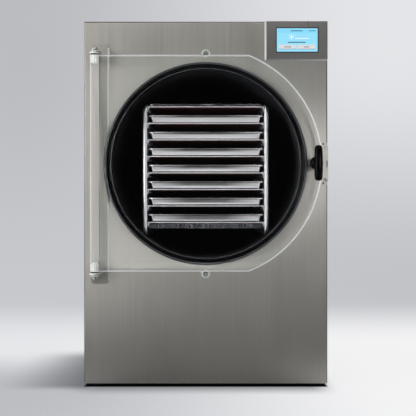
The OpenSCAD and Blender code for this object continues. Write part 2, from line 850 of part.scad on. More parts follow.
// Cross bar with rounded, slightly tapered ends, on a domed collar
module door_handle() {
    corner = 6;
    taper = 2;
    depth = handle_out - bar_t;
    neck_r = bar_w / 2 - 0.5;
    dome_y = 5;
    color(black) place() translate([handle_x, door_front - fit, chamber_z]) difference() {
        union() {
            rotate([90, 0, 0]) rotate_extrude() {
                square([collar_r, dome_y]);
                intersection() {
                    translate([0, dome_y]) circle(collar_r);
                    translate([0, dome_y - 1]) square([collar_r, collar_r + 2]);
                }
                square([neck_r, depth + 4]);
            }
            hull() for (s = [-1, 1]) for (q = [-1, 1])
                for (p = [[bar_w / 2, 10], [bar_w / 2 - taper, bar_len / 2]])
                    for (y = [depth + corner - fit, handle_out - corner - fit])
                        translate([s * (p[0] - corner), -y, q * (p[1] - corner)]) sphere(corner, $fn = 20);
        }
        bar(0, 0, -depth - 2, over, shaft_r + pin_fit);
    }
}

module latch_shaft() {
    color(bright_steel) place() {
        bar(handle_x, chamber_z, door_front - handle_out + bar_t, cam_front + cam_t, shaft_r);
        bar(handle_x, chamber_z, door_back + fit, cam_front, shaft_r + 2);
        bar(handle_x, chamber_z, cam_front + cam_t, cam_front + cam_t + 2.5, shaft_r + 1.5);
    }
}

module latch_cam() {
    tip = 6;
    color(bright_steel) place() difference() {
        slab(cam_front, cam_t) translate([handle_x, chamber_z]) {
            circle(shaft_r + 2);
            translate([-cam_reach + tip, -tip]) square([cam_reach - tip, 2 * tip]);
            translate([-cam_reach + tip, 0]) circle(tip);
        }
        bar(handle_x, chamber_z, cam_front - over, cam_front + cam_t + over, shaft_r + pin_fit);
    }
}

// Folded plate: a foot on the panel, a slotted web, and a lip that the cam turns behind
module latch_keeper() {
    half = keeper_h / 2;
    step = 8;
    color(stainless) place() translate([0, 0, chamber_z]) difference() {
        union() {
            box([keeper_left - 1, -keeper_t, -half], [keeper_right, 0, half]);
            box([keeper_right - keeper_t, keeper_front, step - half], [keeper_right, 0, half - step]);
            box([keeper_left, keeper_front, 2 * step - half],
                [keeper_right, keeper_front + keeper_t, half - 2 * step]);
        }
        along_x(keeper_right - keeper_t - over, keeper_t + 2 * over)
            translate([keeper_front / 2, 0]) rotate(90) slot_2d(18, 5);
    }
}

// Round studs with a hexagon socket, screwed through the panel into the chamber's flange
module rest_studs() {
    color(bright_steel) place() for (s = [-1, 1]) difference() {
        union() {
            bar(0, chamber_z + s * flange_bolt_r, -stud_out, 0, stud_r - 1);
            bar(0, chamber_z + s * flange_bolt_r, 1 - stud_out, 0, stud_r);
            bar(0, chamber_z + s * flange_bolt_r, -1, bolt_end, bolt_r);
        }
        translate([0, -stud_out - over, chamber_z + s * flange_bolt_r]) rotate([-90, 0, 0])
            cylinder(h = 6 + over, r = 4, $fn = 6);
    }
}

module flange_nuts() {
    color(bright_steel) place() for (i = [0:7])
        translate([flange_bolt_r * cos(45 * i), flange_back, chamber_z + flange_bolt_r * sin(45 * i)])
            rotate([-90, 0, 0]) difference() {
                cylinder(h = nut_h, r = nut_r, $fn = 6);
                translate([0, 0, -over]) cylinder(h = nut_h + 2 * over, r = bolt_r + pin_fit);
            }
}

// ---- Rack, shelves and trays ----

// Side plate with a flange at each end, cut to the chamber's round wall
module rack_side() {
    shoulder = 12;
    intersection() {
        union() {
            box([rack_half - rack_t, rack_y, leg_bottom],
                [rack_half, rack_back, rack_shoulder + shoulder - 2]);
            for (y = [rack_y, rack_back - rack_t]) slab(y, rack_t)
                polygon([[rack_half - rack_t, leg_bottom - 20], [rack_half + rack_flange, leg_bottom - 20],
                         [rack_half + rack_flange, rack_shoulder],
                         [rack_half - rack_t, rack_shoulder + shoulder]]);
        }
        bar(0, chamber_z, 0, tube_end, flange_trim);
    }
}
module rack_side_drilled() {
    difference() {
        rack_side();
        for (i = [1:shelf_count]) for (y = screw_y)
            translate([rack_half - 5, y, shelf_height(i) - screw_drop]) rotate([0, 90, 0])
                cylinder(h = 10, r = screw_r + fit, $fn = 24);
    }
}
module rack_left_side() { color(stainless) place() mirror([1, 0, 0]) rack_side_drilled(); }
module rack_right_side() { color(stainless) place() rack_side_drilled(); }

function shelf_height(i) = shelf_z + (i - 1) * shelf_pitch;

module rack_screws() {
    color(bright_steel) place() for (s = [0, 1]) mirror([s, 0, 0]) for (i = [1:shelf_count]) for (y = screw_y)
        translate([rack_half, y, shelf_height(i) - screw_drop]) rotate([0, 90, 0]) {
            translate([0, 0, -rack_t - shelf_t - 3])
                cylinder(h = rack_t + shelf_t + 4, r = screw_r, $fn = 24);
            cylinder(h = 2, r = 3.6, $fn = 24);
        }
}

// Shelf: a plate with its sides turned down and a small gusset at each front corner
module shelf(i) {
    top = shelf_height(i);
    gusset = 6;
    color(bright_steel) place() difference() {
        union() {
            box([-shelf_half, rack_y, top - shelf_t], [shelf_half, rack_back, top]);
            for (s = [0, 1]) mirror([s, 0, 0]) {
                box([shelf_half - shelf_t, rack_y + 1, top - shelf_lip], [shelf_half, rack_back - 1, top]);
                slab(rack_y + 1, shelf_t) polygon([[shelf_half, top - shelf_t],
                                                   [shelf_half - gusset, top - shelf_t],
                                                   [shelf_half, top - shelf_lip]]);
            }
        }
        for (s = [0, 1]) mirror([s, 0, 0]) for (y = screw_y)
            translate([shelf_half - 5, y, top - screw_drop]) rotate([0, 90, 0])
                cylinder(h = 10, r = screw_r + pin_fit, $fn = 24);
    }
}

module heater_mats() {
    side = 8;
    color([0.75, 0.16, 0.09]) place() for (i = [1:shelf_count])
        box([side - shelf_half, rack_y + fit, shelf_height(i) - shelf_t - mat_t],
            [shelf_half - side, rack_back - 8, shelf_height(i) - shelf_t]);
}

module top_foil() {
    color(bright_steel) place() slab(rack_y + 2, shelf_len - 4)
        rounded_2d([-foil_half, shelf_top_z], [foil_half, shelf_top_z + top_foil_t], 1.5);
}

module bottom_foil() {
    top = shelf_z - shelf_t - mat_t;
    color(bright_steel) place() slab(rack_y + 4, shelf_len - 8)
        rounded_2d([-foil_half, top - low_foil_t], [foil_half, top], 1.5);
}

// Tray body: a round-cornered box whose walls slope in towards the floor
module tray_body(w, l, h, draft, r) {
    hull() for (x = [-1, 1]) for (y = [-1, 1])
        translate([x * (w / 2 - r), y * (l / 2 - r), 0]) cylinder(h = h, r1 = r - draft, r2 = r, $fn = 32);
}
// Pressed tray: its rim stands out all round and is turned down at the edge
module tray(i) {
    corner = 14;
    w = tray_w - 2 * tray_rim;
    l = tray_len - 2 * tray_rim;
    wall = tray_t - tray_draft * tray_t / tray_h;
    color(bright_steel) place() translate([0, rack_y + shelf_len / 2, shelf_height(i)]) difference() {
        union() {
            tray_body(w, l, tray_h, tray_draft, corner);
            translate([0, 0, tray_h - tray_t]) linear_extrude(tray_t) tray_rim_2d(0, corner);
            translate([0, 0, tray_h - tray_lip]) linear_extrude(tray_lip) difference() {
                tray_rim_2d(0, corner);
                tray_rim_2d(tray_t, corner);
            }
        }
        translate([0, 0, tray_t]) tray_body(w - 2 * wall, l - 2 * wall, tray_h, tray_draft, corner - tray_t);
    }
}
module tray_rim_2d(inset, corner) {
    rounded_2d([inset - tray_w / 2, inset - tray_len / 2], [tray_w / 2 - inset, tray_len / 2 - inset],
               corner - inset, $fn = 32);
}

// ---- Refrigeration ----

// Hermetic can with domed ends, on four feet, with its terminal box at the side
module compressor() {
    dome = 26;
    foot_x = comp_r + 8;
    foot_y = comp_r * 0.62;
    foot_half = 14;
    box_out = 26;
    box_half = 32;
    color(black) place() translate([comp_x, comp_y, pan_top]) {
        translate([0, 0, foot_d]) rotate_extrude() {
            translate([0, dome]) square([comp_r, comp_h - 2 * dome]);
            square([comp_r - dome, comp_h]);
            for (z = [dome, comp_h - dome]) translate([comp_r - dome, z]) circle(dome);
        }
        for (s = [-1, 1])
            box([-foot_x, s * foot_y - foot_half, foot_d], [foot_x, s * foot_y + foot_half, foot_d + 3]);
        for (x = [-1, 1]) for (s = [-1, 1])
            translate([x * comp_r, s * foot_y, 0]) cylinder(h = foot_d + 6, r = 7);
        box([comp_r - 6, -box_half, foot_d + comp_h / 2 - box_half],
            [comp_r + box_out, box_half, foot_d + comp_h / 2 + box_half]);
    }
}

module condenser() {
    tube_r = line_r + 0.75;
    fin = 0.8;
    gap = (cond_w - 2 * fin) / (fin_count + 1);
    row_gap = cond_h / cond_rows;
    color([0.6, 0.6, 0.58]) place() translate([cond_x, cond_y, cond_low]) {
        for (i = [0:fin_count + 1]) box([0, i * gap, 0], [cond_d, i * gap + fin, cond_h]);
        // one tube, folded back and forth through the fins
        pipe([for (j = [0:cond_rows - 1]) for (k = [0, 1])
            [cond_d / 2, (j + k) % 2 == 0 ? -12 : cond_w + 12, row_gap * (j + 0.5)]], tube_r, 0);
        box([0, 0, -cond_foot], [cond_d, cond_w, 0]);
        box([0, 0, cond_h], [cond_d, cond_w, cond_h + 2]);
    }
}

module fan_shroud() {
    ring_r = fan_r + fan_gap;
    color(dark_steel) place() {
        translate([0, fan_y, fan_z]) {
            along_x(shroud_x, ring_t) difference() {
                square([cond_w, cond_h], center = true);
                circle(ring_r);
            }
            along_x(shroud_x, ring_l) difference() {
                circle(ring_r + ring_t);
                circle(ring_r);
            }
            along_x(shroud_x + ring_l - 4, 4) {
                difference() {
                    circle(motor_r + 6);
                    circle(motor_r + pin_fit);
                }
                for (a = [45, 135, 225, 315]) rotate(a)
                    translate([motor_r + 3, -5]) square([ring_r - motor_r - 2, 10]);
            }
        }
    }
}

module fan_motor() {
    color(bright_steel) place() difference() {
        translate([motor_x, fan_y, fan_z]) rotate([0, 90, 0]) cylinder(h = motor_len, r = motor_r);
        translate([motor_x - over, fan_y, fan_z]) rotate([0, 90, 0])
            cylinder(h = motor_len - 11 + over, r = fan_shaft_r + pin_fit);
    }
}

// Hub, shaft and pitched blades, trimmed to the ring
module fan_rotor() {
    blade_t = 1.6;
    pitch = 28;
    sunk = 6;
    lead = 0.42;
    color([0.75, 0.76, 0.78]) place() translate([blade_x, fan_y, fan_z]) rotate([0, 90, 0]) {
        cylinder(h = hub_l, r = hub_r);
        cylinder(h = motor_x + motor_len - 12 - blade_x, r = fan_shaft_r);
        for (i = [0:fan_blades_n - 1]) rotate([0, 0, 360 * i / fan_blades_n]) intersection() {
            translate([0, 0, hub_l / 2]) rotate([pitch, 0, 0]) linear_extrude(blade_t, center = true)
                polygon([[hub_r - sunk, -blade_root / 2], [fan_r, (lead - 1) * blade_tip],
                         [fan_r, lead * blade_tip], [hub_r - sunk, blade_root / 2]]);
            cylinder(h = cut_len, r = fan_r - 1, center = true);
        }
    }
}

module refrigerant_lines() {
    hot_z = comp_top + 14;
    row_x = cond_x + cond_d / 2;
    row_gap = cond_h / cond_rows;
    first_row = cond_low + row_gap / 2;
    last_row = first_row + (cond_rows - 1) * row_gap;
    ahead = cond_y - 25;
    color(copper) place() {
        // hot gas, from the compressor to the condenser's top row
        pipe([[comp_x, comp_y + 40, comp_top], [comp_x, comp_y + 40, hot_z], [comp_x, ahead, hot_z],
              [row_x, ahead, hot_z], [row_x, ahead, last_row], [row_x, cond_y - 18, last_row]], line_r);
        // suction, from the coil back to the compressor
        pipe([[comp_x - 30, comp_y - 40, comp_top], [comp_x - 30, comp_y - 40, suction_z],
              [comp_x - 30, line_y, suction_z], [0, line_y, suction_z], [0, line_y, chamber_z - foam_r + 6]],
             line_r + 1);
        // liquid, from the condenser's bottom row through the drier to the coil
        pipe([[row_x, cond_y - 18, first_row], [row_x, line_y, first_row], [liquid_x, line_y, first_row],
              [liquid_x, line_y, liquid_top]], line_r);
        translate([liquid_x, line_y, first_row + 40]) cylinder(h = 80, r = 14);
    }
}

// ---- Rear fittings ----

module drain_pipe() {
    top = chamber_z - chamber_r - 1;
    color(bright_steel) place() difference() {
        pipe([[0, drain_y, top], [0, drain_y, valve_z], [0, cab_d, valve_z]], drain_r);
        pipe([[0, drain_y, top + over], [0, drain_y, valve_z], [0, cab_d + over, valve_z]],
             drain_r - drain_wall);
    }
}

// Ball valve: its bore is open from the hose end to the ball
module drain_valve() {
    color([0.72, 0.6, 0.3]) place() translate([0, 0, valve_z]) difference() {
        union() {
            bar(0, 0, cab_d + fit, cab_d + 8, 12);
            bar(0, 0, cab_d + 6, cab_d + valve_body, 10);
            bar(0, 0, cab_d + valve_body, cab_d + valve_len, drain_r);
            translate([0, cab_d + stem_y, 0]) cylinder(h = 18, r = 8);
        }
        bar(0, 0, cab_d - over, cab_d + 8, drain_r);
        bar(0, 0, cab_d + valve_body - 6, cab_d + valve_len + over, drain_r - 2.5);
        translate([0, cab_d + stem_y, 6]) cylinder(h = 20, r = valve_stem + pin_fit);
    }
}

module drain_lever() {
    tip = 6;
    color([0.7, 0.1, 0.1]) place() translate([0, cab_d + stem_y, valve_z]) {
        translate([0, 0, 7]) cylinder(h = 16, r = valve_stem);
        translate([0, 0, 18 + fit]) linear_extrude(3) {
            circle(8);
            translate([0, -tip]) square([lever_len - tip, 2 * tip]);
            translate([lever_len - tip, 0]) circle(tip);
        }
    }
}

module inlet_2d(x, gap) { translate([x, inlet_z]) square([48 + 2 * gap, 60 + 2 * gap], center = true); }
module outlet_2d(x, gap) { translate([x, inlet_z]) square([32 + 2 * gap, 26 + 2 * gap], center = true); }

// Mains inlet with the switch's well above the socket
module power_inlet() {
    color(black) place() difference() {
        union() {
            slab(cab_d - fitting_d, fitting_d) inlet_2d(inlet_x, 0);
            slab(cab_d, 3) inlet_2d(inlet_x, 3);
        }
        slab(cab_d - socket_d, 2 * socket_d)
            translate([inlet_x, inlet_z - 14]) square([28, 22], center = true);
        slab(cab_d - socket_d + 2, 2 * socket_d) translate([inlet_x, rocker_z])
            square([rocker_w + 2 * fit, rocker_h + 2.4], center = true);
        translate([inlet_x - rocker_w / 2 - 3, rocker_y, rocker_z]) rotate([0, 90, 0])
            cylinder(h = rocker_w + 6, r = rocker_pin + pin_fit, $fn = 32);
    }
}

module power_rocker() {
    h = rocker_h / 2;
    color([0.6, 0.08, 0.06]) place() translate([inlet_x, rocker_y, rocker_z]) rotate([rocker_tilt, 0, 0]) {
        along_x(-rocker_w / 2, rocker_w) polygon([[-4, 2 - h], [7, -h], [5.5, 0], [7, h], [-4, h - 2]]);
        translate([-rocker_w / 2 - 2.5, 0, 0]) rotate([0, 90, 0])
            cylinder(h = rocker_w + 5, r = rocker_pin, $fn = 32);
    }
}

module pump_outlet() {
    color(black) place() difference() {
        union() {
            slab(cab_d - fitting_d, fitting_d) outlet_2d(outlet_x, 0);
            slab(cab_d, 3) outlet_2d(outlet_x, 3);
        }
        slab(cab_d - socket_d, 2 * socket_d) translate([outlet_x, inlet_z]) square([26, 20], center = true);
        slab(cab_d - fitting_d - 6, 20) translate([outlet_x, inlet_z]) circle(3, $fn = 24);
    }
}

base_pan();
feet();
front_panel();
cabinet_cover();
rear_panel();
front_cradle();
rear_cradle();
control_cover();
screen_frame();
touch_screen();
control_board();
vacuum_chamber();
door_gasket();
evaporator_coil();
chamber_insulation();
vacuum_sensor();
heater_plug();
door_panel();
hinge_bracket();
hinge_pins();
hinge_bushings();
door_handle();
latch_shaft();
latch_cam();
latch_keeper();
rest_studs();
flange_nuts();
rack_left_side();
rack_right_side();
rack_screws();
top_foil();
bottom_foil();
heater_mats();
compressor();
condenser();
fan_shroud();
fan_motor();
fan_rotor();
refrigerant_lines();
drain_pipe();
drain_valve();
drain_lever();
power_inlet();
power_rocker();
pump_outlet();
for (i = [1:shelf_count]) shelf(i);
for (i = [1:shelf_count - 1]) tray(i);
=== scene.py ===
# %% [markdown]
# # A freeze dryer, dressed for its portrait
# A freeze dryer is a steel cabinet round a vacuum drum. Food or samples lie on trays, between heated
# shelves, while the drum's wall is kept very cold. The solids come ready made from the CAD frame. This
# lesson gives each one the finish of its real material, adds the forms that a solid modeller leaves plain,
# such as crinkled foil and rolled tray rims, and then lights the machine as a studio would.

# %% Load the frame
import bmesh
import bpy
import math
import numpy as np
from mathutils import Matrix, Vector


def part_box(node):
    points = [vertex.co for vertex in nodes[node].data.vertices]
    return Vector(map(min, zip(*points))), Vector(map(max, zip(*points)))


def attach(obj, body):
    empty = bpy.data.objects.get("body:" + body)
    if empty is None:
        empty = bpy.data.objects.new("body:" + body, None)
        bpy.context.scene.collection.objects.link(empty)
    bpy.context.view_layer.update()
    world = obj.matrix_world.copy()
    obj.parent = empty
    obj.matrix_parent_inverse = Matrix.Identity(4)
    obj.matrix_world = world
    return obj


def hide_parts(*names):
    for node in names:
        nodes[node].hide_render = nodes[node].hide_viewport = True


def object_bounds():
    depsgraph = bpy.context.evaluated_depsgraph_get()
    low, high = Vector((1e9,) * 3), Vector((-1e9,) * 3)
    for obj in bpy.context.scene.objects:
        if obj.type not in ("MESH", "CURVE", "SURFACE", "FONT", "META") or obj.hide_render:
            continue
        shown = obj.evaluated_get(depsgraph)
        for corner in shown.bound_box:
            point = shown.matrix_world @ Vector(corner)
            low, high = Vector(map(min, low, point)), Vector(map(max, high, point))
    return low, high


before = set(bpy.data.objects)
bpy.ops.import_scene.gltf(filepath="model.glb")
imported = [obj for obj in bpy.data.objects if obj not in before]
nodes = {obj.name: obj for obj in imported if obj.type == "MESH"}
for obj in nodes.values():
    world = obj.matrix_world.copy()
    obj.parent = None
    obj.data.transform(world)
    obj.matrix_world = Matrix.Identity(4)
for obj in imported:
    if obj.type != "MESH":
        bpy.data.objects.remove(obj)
cad_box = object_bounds()
print(len(nodes), "solids, box", [[round(v, 3) for v in corner] for corner in cad_box])

# %% [markdown]
# ## Where things are
# Every place in this scene is read from the frame's own solids, so a change of size in the CAD moves the
# dressing with it. The front panel's face, the drum's axis and the floor are the three that matter most.

# %% Measure the machine
MM = 0.001


def box(node):
    """A solid's lowest and highest corners at rest, in metres."""
    low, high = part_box(node)
    return np.array(low), np.array(high)


panel_lo, panel_hi = box("front_panel")
FRONT_Y = panel_lo[1]
gasket_lo, gasket_hi = box("door_gasket")
DRUM_Z = (gasket_lo[2] + gasket_hi[2]) / 2
print("front panel at y", round(FRONT_Y, 4), "drum axis at z", round(DRUM_Z, 4))

# %% [markdown]
# ## The camera
# A catalogue picture of an appliance is taken from far away with a long lens, level with the machine's
# middle, so that its sides stay hidden and its edges stay upright. Eighty-eight millimetres on a full frame,
# 2.6 metres off, keeps the cabinet almost flat while the rack still shows its depth.

# %% Set up the camera
LENS, FILM_WIDTH = 88.4, 36.0
DISTANCE, ASIDE, EYE_HEIGHT = 2.6, 5.7 * MM, 0.455

camera_data = bpy.data.cameras.new("catalogue_camera")
camera_data.lens = LENS
camera_data.sensor_width = FILM_WIDTH
camera = bpy.data.objects.new("catalogue_camera", camera_data)
camera.location = (ASIDE, FRONT_Y - DISTANCE, EYE_HEIGHT)
camera.rotation_euler = (math.pi / 2, 0, 0)
bpy.context.collection.objects.link(camera)
bpy.context.scene.camera = camera
bpy.context.scene.view_settings.view_transform = "Standard"
print("camera", [round(v, 3) for v in camera.location], "lens", LENS)

# %% [markdown]
# ## Small helpers for materials
# A finish is a little network of nodes. `add` puts one node in, sets its properties and joins its inputs.
# `tone` turns a colour as a designer writes it, in sRGB hex, into the linear numbers that a renderer adds
# and multiplies. `finish` starts a material with its main shader already set.

# %% Define the material helpers
def tone(code):
    """sRGB hex to linear: c / 12.92 below 0.04045, else ((c + 0.055) / 1.055) to the power 2.4."""
    srgb = np.array([int(code[i:i + 2], 16) for i in (1, 3, 5)]) / 255
    linear = np.where(srgb <= 0.04045, srgb / 12.92, ((srgb + 0.055) / 1.055) ** 2.4)
    return (*linear.tolist(), 1.0)


def join(material, source, target):
    """Joins a socket, or a node's first output in use, to an input."""
    if isinstance(source, bpy.types.Node):
        source = next(socket for socket in source.outputs if socket.enabled)
    material.node_tree.links.new(source, target)


def add(material, kind, inputs=None, **settings):
    """Adds one shader node and sets its properties. Each named or numbered input gets a value, or is joined
    to a socket or a node."""
    node = material.node_tree.nodes.new("ShaderNode" + kind)
    for key, value in settings.items():
        setattr(node, key, value)
    for key, value in (inputs or {}).items():
        if isinstance(value, (bpy.types.Node, bpy.types.NodeSocket)):
            join(material, value, node.inputs[key])
        else:
            node.inputs[key].default_value = value
    return node


def finish(name, **sockets):
    """A new material with one Principled shader whose sockets are set directly."""
    material = bpy.data.materials.new(name)
    material.use_nodes = True
    material.node_tree.nodes.clear()
    shader = add(material, "BsdfPrincipled", {key.replace("_", " "): value for key, value in sockets.items()})
    add(material, "OutputMaterial", {"Surface": shader})
    return material, shader


print("helpers ready: mid grey is", round(tone("#808080")[0], 3), "in linear light")

# %% [markdown]
# ## Grained stainless steel
# The cabinet is 304 stainless sheet with a belt-ground No. 4 finish: thousands of fine scratches, all
# upright. Each scratch spreads light sideways, so the sheet shows soft clouds of light in place of a mirror
# image. The scratches are about 0.1 mm apart, far below what this picture can show, so the noise here is
# stretched into streaks about 3 mm wide that only just stir the roughness, and a slow cloud varies it more.

# %% Define streaks, coats of colour and bends
def streaks(material, across, along, lie):
    """Noise on Object coordinates, stretched along the axis lie: across and along are the streaks' width and
    length in metres."""
    scale = [1 / across] * 3
    scale[lie] = 1 / along
    place = add(material, "TexCoord")
    grid = add(material, "Mapping", {"Vector": place.outputs["Object"], "Scale": scale})
    return add(material, "TexNoise", {"Vector": grid, "Scale": 1.0, "Detail": 3.0})


def coated(material, colour, *coats):
    """Colours laid over one another. Each coat is (mask, colour): a mask of 1 hides what is below it. A
    colour is sRGB hex, or a socket or node that carries one."""
    for mask, coat in coats:
        below, above = (tone(c) if isinstance(c, str) else c for c in (colour, coat))
        colour = add(material, "Mix", {0: mask, 6: below, 7: above}, data_type="RGBA")
    return colour


def bend_mask(material, starts, full, ways=(0, 2)):
    """1 where the surface turns from facing forwards to facing sideways (way 0), up or down (way 2). The
    mask starts and is full where it has turned that far, from 0 to 1, and it ends before a square face."""
    place = add(material, "TexCoord")
    facing = add(material, "SeparateXYZ", {0: place.outputs["Normal"]})
    sizes = [add(material, "Math", {0: facing.outputs[way]}, operation="ABSOLUTE") for way in ways]
    turn = add(material, "Math", {0: sizes[0], 1: sizes[-1]}, operation="MAXIMUM")
    begins, ends = (add(material, "MapRange", {"Value": turn, "From Min": low, "From Max": high})
                    for low, high in ((starts, full), (0.99, 0.95)))
    return add(material, "Math", {0: begins, 1: ends}, operation="MULTIPLY")


print("streaks, coats and bend masks ready")

# %% [markdown]
# ## One recipe for worked metal
# Ground, blasted, rolled or drawn, metal differs in its colour, in how rough it is and in whether the marks
# of its making run one way. One recipe takes those as its inputs, so that each stock below is a single line.
# A bend can get a darker colour of its own: painted shade, which holds back the line of light that the lamps
# draw along a fold.

# %% Define ground metal
CLOUD_WIDTH, CLOUD_HEIGHT, STREAK_LENGTH = 160 * MM, 260 * MM, 180 * MM


def ground_metal(name, dark, light, rough, grain=0.05, anisotropy=0.0, turn=0.25, bends=None,
                 bend_range=(0.05, 0.2), lie=2, line=3 * MM):
    """Belt-ground sheet: streaks and a slow cloud stir the roughness by the grain, and the streaks stir the
    colour. The tangent points up, and a quarter turn from it lies across the scratches, where light spreads
    most. Bends is a darker colour painted on the folded edges: painted shade."""
    material, shader = finish(name, Metallic=1.0, Anisotropic=anisotropy, Anisotropic_Rotation=turn)
    lines = streaks(material, line, STREAK_LENGTH, lie)
    cloud = streaks(material, CLOUD_WIDTH, CLOUD_HEIGHT, lie)
    both = add(material, "Math", {0: lines, 1: cloud}, operation="ADD")
    half = add(material, "Math", {0: both, 1: 0.5}, operation="MULTIPLY")
    # Noise keeps mostly between 0.3 and 0.7, so that span becomes the whole range of roughness.
    stir = add(material, "MapRange", {"Value": half, "From Min": 0.3, "From Max": 0.7,
                                      "To Min": rough - grain, "To Max": rough + grain})
    join(material, stir, shader.inputs["Roughness"])
    colour = coated(material, dark, (lines, light))
    if bends:
        colour = coated(material, colour, (bend_mask(material, *bend_range), bends))
    join(material, colour, shader.inputs["Base Color"])
    if anisotropy:
        upright = add(material, "CombineXYZ", {0: 0.0, 1: 0.01, 2: 1.0})
        join(material, upright, shader.inputs["Tangent"])
    return material


print("ground metal ready, streaks", STREAK_LENGTH / MM, "mm long")

# %% [markdown]
# ## The steels
# Stainless steel is one alloy with many faces, and how it was finished decides its tone. Belt-ground sheet is
# grey and streaky, bright-rolled sheet is nearly white, and blasted plate is even and dull. Each line below
# says what its stock gives the eye.

# %% Make the steels
# Belt-ground sheet: warm grey, with lights drawn out sideways, and painted shade, a darker colour, where it
# is folded.
grained_steel = ground_metal("stainless_sheet_belt_ground", "#bab7b0", "#c8c5be", 0.36, 0.04, 0.8,
                             bends="#8d8c87")
# An edge ground the other way: its lights are drawn out upwards, and its colour is painted paler than the
# plate's, a painted highlight.
edge_steel = ground_metal("stainless_edge_ground_crosswise", "#d8d7d2", "#e6e5e1", 0.3, 0.03, 0.8, turn=0.0)
# The strip on the hinge's leaf: the same grain, a little brighter.
leaf_steel = ground_metal("stainless_strip_belt_ground", "#d3d0ca", "#dad7d1", 0.36, 0.03, 0.8)
# Thick plate blasted with beads: an even grey, with no direction.
folded_steel = ground_metal("stainless_plate_blasted", "#acaaa2", "#c6c4bc", 0.34, 0.06)
# Sheet ground with a fine belt: calmer than the cabinet, and its colour painted darker, a painted shade.
dim_steel = ground_metal("stainless_sheet_ground_fine", "#a1a09c", "#adaca8", 0.30, 0.03, 0.6)
# A pressed slope of the same sheet: its colour painted pale, a painted highlight, and soft.
slope_steel = ground_metal("stainless_edge_pressed", "#dcdcde", "#e6e6e8", 0.5, 0.03)
# Bright-rolled sheet: smooth and nearly white.
bright_steel = ground_metal("stainless_sheet_bright_rolled", "#dcdcdf", "#ececee", 0.34)
# The same sheet pressed to a pan: fine lines along its walls, and painted shade, a dark colour, in the bends
# at its foot and rim.
tray_steel = ground_metal("stainless_sheet_pressed_bright", "#dad8d9", "#f6f5f5", 0.33, 0.06, bends="#38383a",
                          bend_range=(0.3, 0.5, (2,)), lie=0, line=1.6 * MM)
# A rolled edge: its many angles blend to a soft white line, and its colour is painted whiter than the
# shelf's, a painted highlight.
lip_steel = ground_metal("stainless_edge_rolled_bright", "#f6f6f7", "#ffffff", 0.5, 0.03)
# Turned and polished: small, sharp highlights.
polished_steel = ground_metal("stainless_turned_polished", "#d8d9db", "#e4e5e6", 0.22, 0.03)
# Galvanised sheet: a dull blue-grey.
zinc_steel = ground_metal("steel_sheet_galvanised", "#8e9092", "#a3a5a7", 0.45)
print("steels:", grained_steel.name, folded_steel.name, bright_steel.name, polished_steel.name)

# %% [markdown]
# ## The softer metals
# Aluminium, copper and brass are coloured by what they are more than by their finish. Most of them sit inside
# the cabinet, where only a service hatch or an open drum would show them, so plain stock is enough. The foil
# is the one that everybody sees.

# %% Make the softer metals
# Aluminium as it leaves the mill: pale and slightly dull.
mill_aluminium = ground_metal("aluminium_mill_finish", "#b4b6b8", "#c6c8ca", 0.35)
# Foil: each facet is a dull mirror, so it is dark here and bright there, and its colour is painted far darker
# than aluminium's, a painted shade.
foil = ground_metal("aluminium_foil_crinkled", "#4f5053", "#7e7f83", 0.25, 0.10)
# Drawn tube: salmon red and smooth.
soft_copper = ground_metal("copper_tube_drawn", "#b4674a", "#c67a58", 0.3)
# Turned brass: yellow, with small highlights.
turned_brass = ground_metal("brass_turned", "#b5924c", "#c9a762", 0.28)
print("softer metals:", mill_aluminium.name, foil.name, soft_copper.name, turned_brass.name)

# %% [markdown]
# ## Plastics, rubbers and coatings
# The black parts differ only in how they catch light. The door seal is extruded silicone, glossy from its
# die. The handle is moulded nylon with a fine spark-eroded texture. The drum's inside is coloured dark grey,
# which is why the chamber reads as a dark hole behind its bright rack.

# %% Make the plastics and rubbers
def moulded(name, dark, light, rough, speck, bump=0.0, **sockets):
    """A moulded surface: fine speckle in the colour, and a bump of the given height in metres."""
    material, shader = finish(name, Roughness=rough, **sockets)
    place = add(material, "TexCoord")
    grain = add(material, "TexNoise", {"Vector": place.outputs["Object"], "Scale": 1 / speck, "Detail": 4.0})
    join(material, coated(material, dark, (grain, light)), shader.inputs["Base Color"])
    if bump:
        lift = add(material, "Bump", {"Height": grain, "Distance": bump, "Strength": 1.0})
        join(material, lift, shader.inputs["Normal"])
    return material


# Silicone from a polished die: black, with a crisp glint.
seal_rubber = moulded("silicone_extruded_gloss", "#050507", "#0a0a0d", 0.12, 8 * MM, 0.02 * MM,
                      Specular_IOR_Level=0.22)
# The same rubber with a lighter colour, a painted highlight, and a broader, stronger shine: a grey sheen.
bead_rubber = moulded("silicone_extruded_satin", "#17171b", "#202025", 0.33, 8 * MM, Specular_IOR_Level=1.0)
# Rubber from a rough mould: dark grey, with no shine.
foot_rubber = moulded("rubber_moulded_matt", "#101010", "#1a1a1a", 0.7, 3 * MM)
# Nylon: nearly black, with little sheen.
black_nylon = moulded("nylon_moulded_black", "#030303", "#070708", 0.13, 2.5 * MM, 0.02 * MM,
                      Specular_IOR_Level=0.08)
# ABS with a fine grain: charcoal, and satin.
screen_plastic = moulded("abs_moulded_charcoal", "#2c2927", "#373432", 0.4, 2.5 * MM, 0.05 * MM)
# The drum's inside: dark grey, so that it swallows light and only its rim shows.
drum_dark = moulded("drum_inside_dark", "#2b2b2d", "#343436", 0.42, 12 * MM, Specular_IOR_Level=0.07)
# Dipped enamel: black, smooth and wet-looking.
black_enamel = moulded("enamel_dipped_black", "#0a0a0a", "#121212", 0.3, 20 * MM)
# Glass cloth set in epoxy: green, with a slight mottle.
board_laminate = moulded("glass_epoxy_board_green", "#123f24", "#1a5230", 0.4, 6 * MM)
# Poured foam: straw-coloured and pitted.
shell_foam = moulded("polyurethane_foam_poured", "#c9bd94", "#e0d6b4", 0.9, 7 * MM, 0.5 * MM)
# Silicone heater mat: red and dull, its colour painted dark as the painted shade under each shelf, where it
# shows as a thin line.
mat_silicone = moulded("silicone_mat_red", "#42110b", "#561a12", 0.55, 2 * MM)
